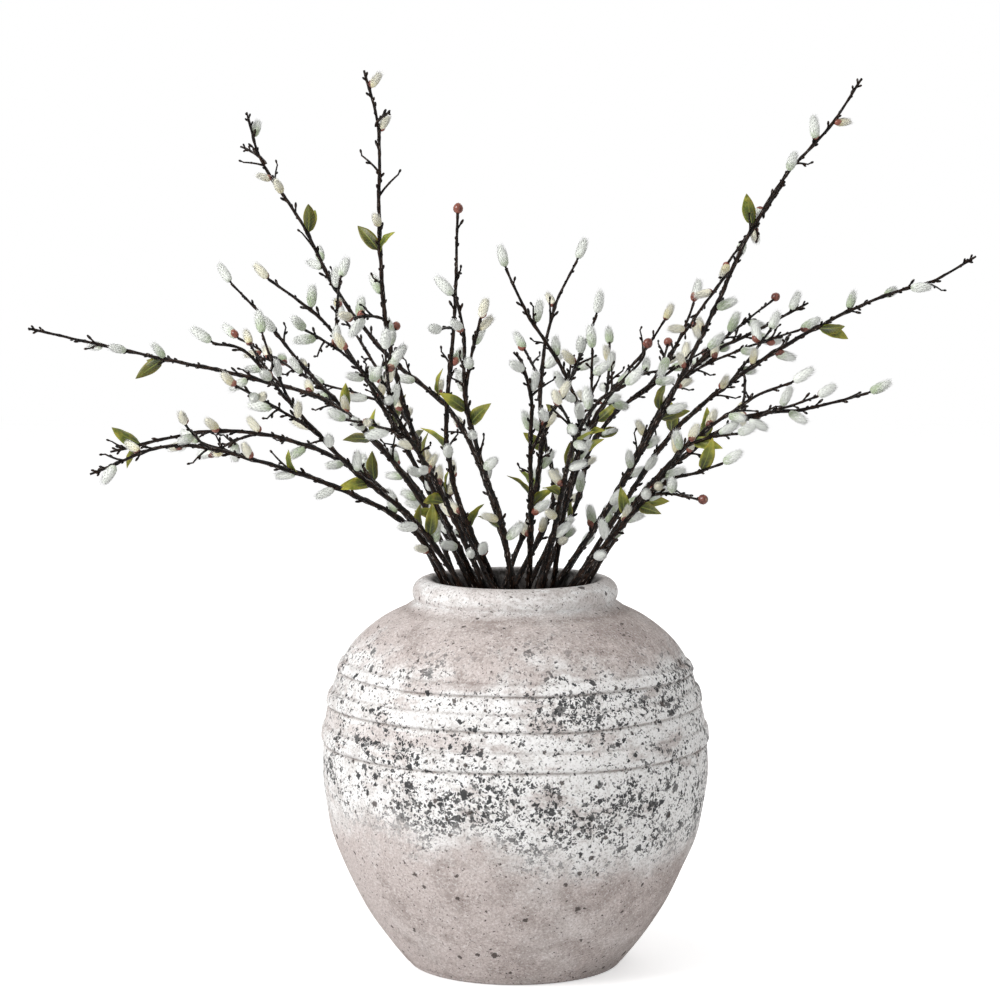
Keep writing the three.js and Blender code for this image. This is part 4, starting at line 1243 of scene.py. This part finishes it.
def leafFinish():
    material, tree, shader = newFinish("willow_leaf", leafLook["roughness"])
    u, v, tone = split3(tree, attribute(tree, "leafSpot", "Vector"))
    place = addNode(tree, "ShaderNodeTexCoord").outputs["Object"]
    mottle = noise(tree, place, 110, 2, 0.5)
    offMiddle = calc(tree, "ABSOLUTE", u)
    yellowed = rise(tree, addUp(tree, mottle, (tone, 0.25), (v, 0.25)), 0.6, 0.95)
    color = blend(tree, yellowed, leafLook["green"], leafLook["yellow"])
    shaded = calc(tree, "MULTIPLY", rise(tree, v, 0.85, 0.15), rise(tree, offMiddle, 0.95, 0.35))
    color = blend(tree, calc(tree, "MULTIPLY", shaded, 0.95), color, leafLook["deep"])
    color = blend(tree, rise(tree, tone, 0.45, 0.85, 0.0, 0.75), color, leafLook["deep"])
    color = blend(tree, rise(tree, offMiddle, 0.84, 0.97, 0.0, 0.45), color, leafLook["yellow"])
    slant = calc(tree, "SUBTRACT", calc(tree, "MULTIPLY", v, 60.0), calc(tree, "MULTIPLY", offMiddle, 9.0))
    ribs = rise(tree, calc(tree, "SINE", slant), 0.75, 1.0)
    middle = rise(tree, offMiddle, 0.12, 0.02)
    veins = calc(tree, "MAXIMUM", middle, calc(tree, "MULTIPLY", ribs, 0.35))
    color = blend(tree, calc(tree, "MULTIPLY", veins, 0.7), color, leafLook["vein"])
    tree.links.new(color, shader.inputs["Base Color"])
    bump(tree, shader, veins, 0.0004, 0.5)
    shader.inputs["Subsurface Weight"].default_value = 0.1
    shader.inputs["Subsurface Scale"].default_value = 0.002
    return material


def makeLeaves(material):
    # Blade: point(u, v) = place + aim length v + across u h(v) - third height(u, v). The half width is
    # h(v) = half width sin(pi v^0.85)^0.9, the height is a fold |u|^1.3, a wave along the edges and a bow
    # sin(pi v), and the under face lies one thickness lower.
    held = gather(("leaf",))
    count = len(held["place"])
    v = np.linspace(0.03, 0.97, leafSet["steps"])[None, :, None]
    over = np.linspace(-1, 1, leafSet["across"])
    u = np.concatenate([over, over[::-1]])[None, None]
    under = np.concatenate([np.zeros(len(over)), np.ones(len(over))])[None, None]
    blade = np.sin(np.pi * v**0.85) ** 0.9 * np.clip((v - 0.03) / 0.14, 0.14, 1)
    half = held["width"][:, None, None] / 2 * blade
    length = held["length"][:, None, None]
    phase = np.arange(count)[:, None, None] * 1.9
    curl = 0.75 + 0.5 * draw(np.arange(count) + 1.0, plastic)[:, None, None]
    fold = leafSet["fold"] * curl * np.abs(u) ** 1.3 * blade
    wave = leafSet["wave"] * u**2 * np.sin(16 * v + 2 * u + phase) * blade
    bow = leafSet["bow"] * length * np.sin(np.pi * v)
    thick = leafSet["thickness"] * (0.35 + 0.65 * (1 - np.abs(u))) * np.clip(blade * 3, 0.5, 1)
    height = fold + wave + bow - under * thick + thick / 2
    third = np.cross(held["across"], held["aim"])
    rings = (
        held["place"][:, None, None] + held["aim"][:, None, None] * (length * v + 0 * u)[..., None]
        + held["across"][:, None, None] * (half * u)[..., None]
        - third[:, None, None] * height[..., None]
    )
    feet = held["place"]
    tips = held["place"] + held["aim"] * held["length"][:, None]
    shape = closedShells(rings, feet, tips)
    tone = draw(np.arange(count) + 5.0, golden)[:, None, None]
    spot = np.stack([u + 0 * v + 0 * tone, v + 0 * u + 0 * tone, tone + 0 * u + 0 * v], axis=-1)
    ends = np.stack([spot[:, 0, 3], spot[:, -1, 3]], axis=1)
    spot = np.concatenate([spot.reshape(count, -1, 3), ends], axis=1).reshape(-1, 3)
    makePiece("willow_leaves", shape, material, {"leafSpot": spot})


bark = barkFinish()
makeStems(bark)
makeNubs(bark)
makeCatkins("catkin", "silver_catkins", 0.5)
makeCatkins("cream", "cream_catkins", 9.5)
makeBuds(budFinish())
makeLeaves(leafFinish())

# Stage: a plain pale floor and soft studio light
stageSet = {
    "floorSize": 14.0, "floorColor": (0.8, 0.8, 0.8, 1), "floorGlow": 0.5, "world": 0.6,
    "lights": [
        {"name": "key", "place": (-2.3, -1.8, 2.2), "size": 1.6, "power": 94},
        {"name": "fill", "place": (1.6, -2.6, 1.2), "size": 2.2, "power": 8},
        {"name": "back", "place": (0.8, 2.4, 2.2), "size": 2.0, "power": 22},
    ],
    "aim": (0.0, 0.0, 0.35),
}


def makeStage():
    half = stageSet["floorSize"] / 2
    mesh = bpy.data.meshes.new("floor")
    corners = [(-half, -half, 0), (half, -half, 0), (half, half, 0), (-half, half, 0)]
    mesh.from_pydata(corners, [], [(0, 1, 2, 3)])
    floor = bpy.data.objects.new("floor", mesh)
    material, tree, shader = newFinish("floor_paint", 0.9)
    shader.inputs["Base Color"].default_value = stageSet["floorColor"]
    shader.inputs["Specular IOR Level"].default_value = 0.1
    shader.inputs["Emission Color"].default_value = (1, 1, 1, 1)
    seen = addNode(tree, "ShaderNodeLightPath").outputs["Is Camera Ray"]
    tree.links.new(calc(tree, "MULTIPLY", seen, stageSet["floorGlow"]), shader.inputs["Emission Strength"])
    mesh.materials.append(material)
    bpy.context.scene.collection.objects.link(floor)
    world = bpy.data.worlds.new("studio")
    world.use_nodes = True
    tree = world.node_tree
    background = tree.nodes["Background"]
    seen = addNode(tree, "ShaderNodeLightPath").outputs["Is Camera Ray"]
    tree.links.new(rise(tree, seen, 0.0, 1.0, stageSet["world"], 1.0), background.inputs["Strength"])
    background.inputs["Color"].default_value = (1, 1, 1, 1)
    bpy.context.scene.world = world
    for light in stageSet["lights"]:
        data = bpy.data.lights.new(light["name"], "AREA")
        data.size = light["size"]
        data.energy = light["power"]
        lamp = bpy.data.objects.new(light["name"], data)
        lamp.location = light["place"]
        line = Vector(stageSet["aim"]) - Vector(light["place"])
        lamp.rotation_euler = line.to_track_quat("-Z", "Y").to_euler()
        bpy.context.scene.collection.objects.link(lamp)
    bpy.context.scene.view_settings.view_transform = "Standard"


makeStage()
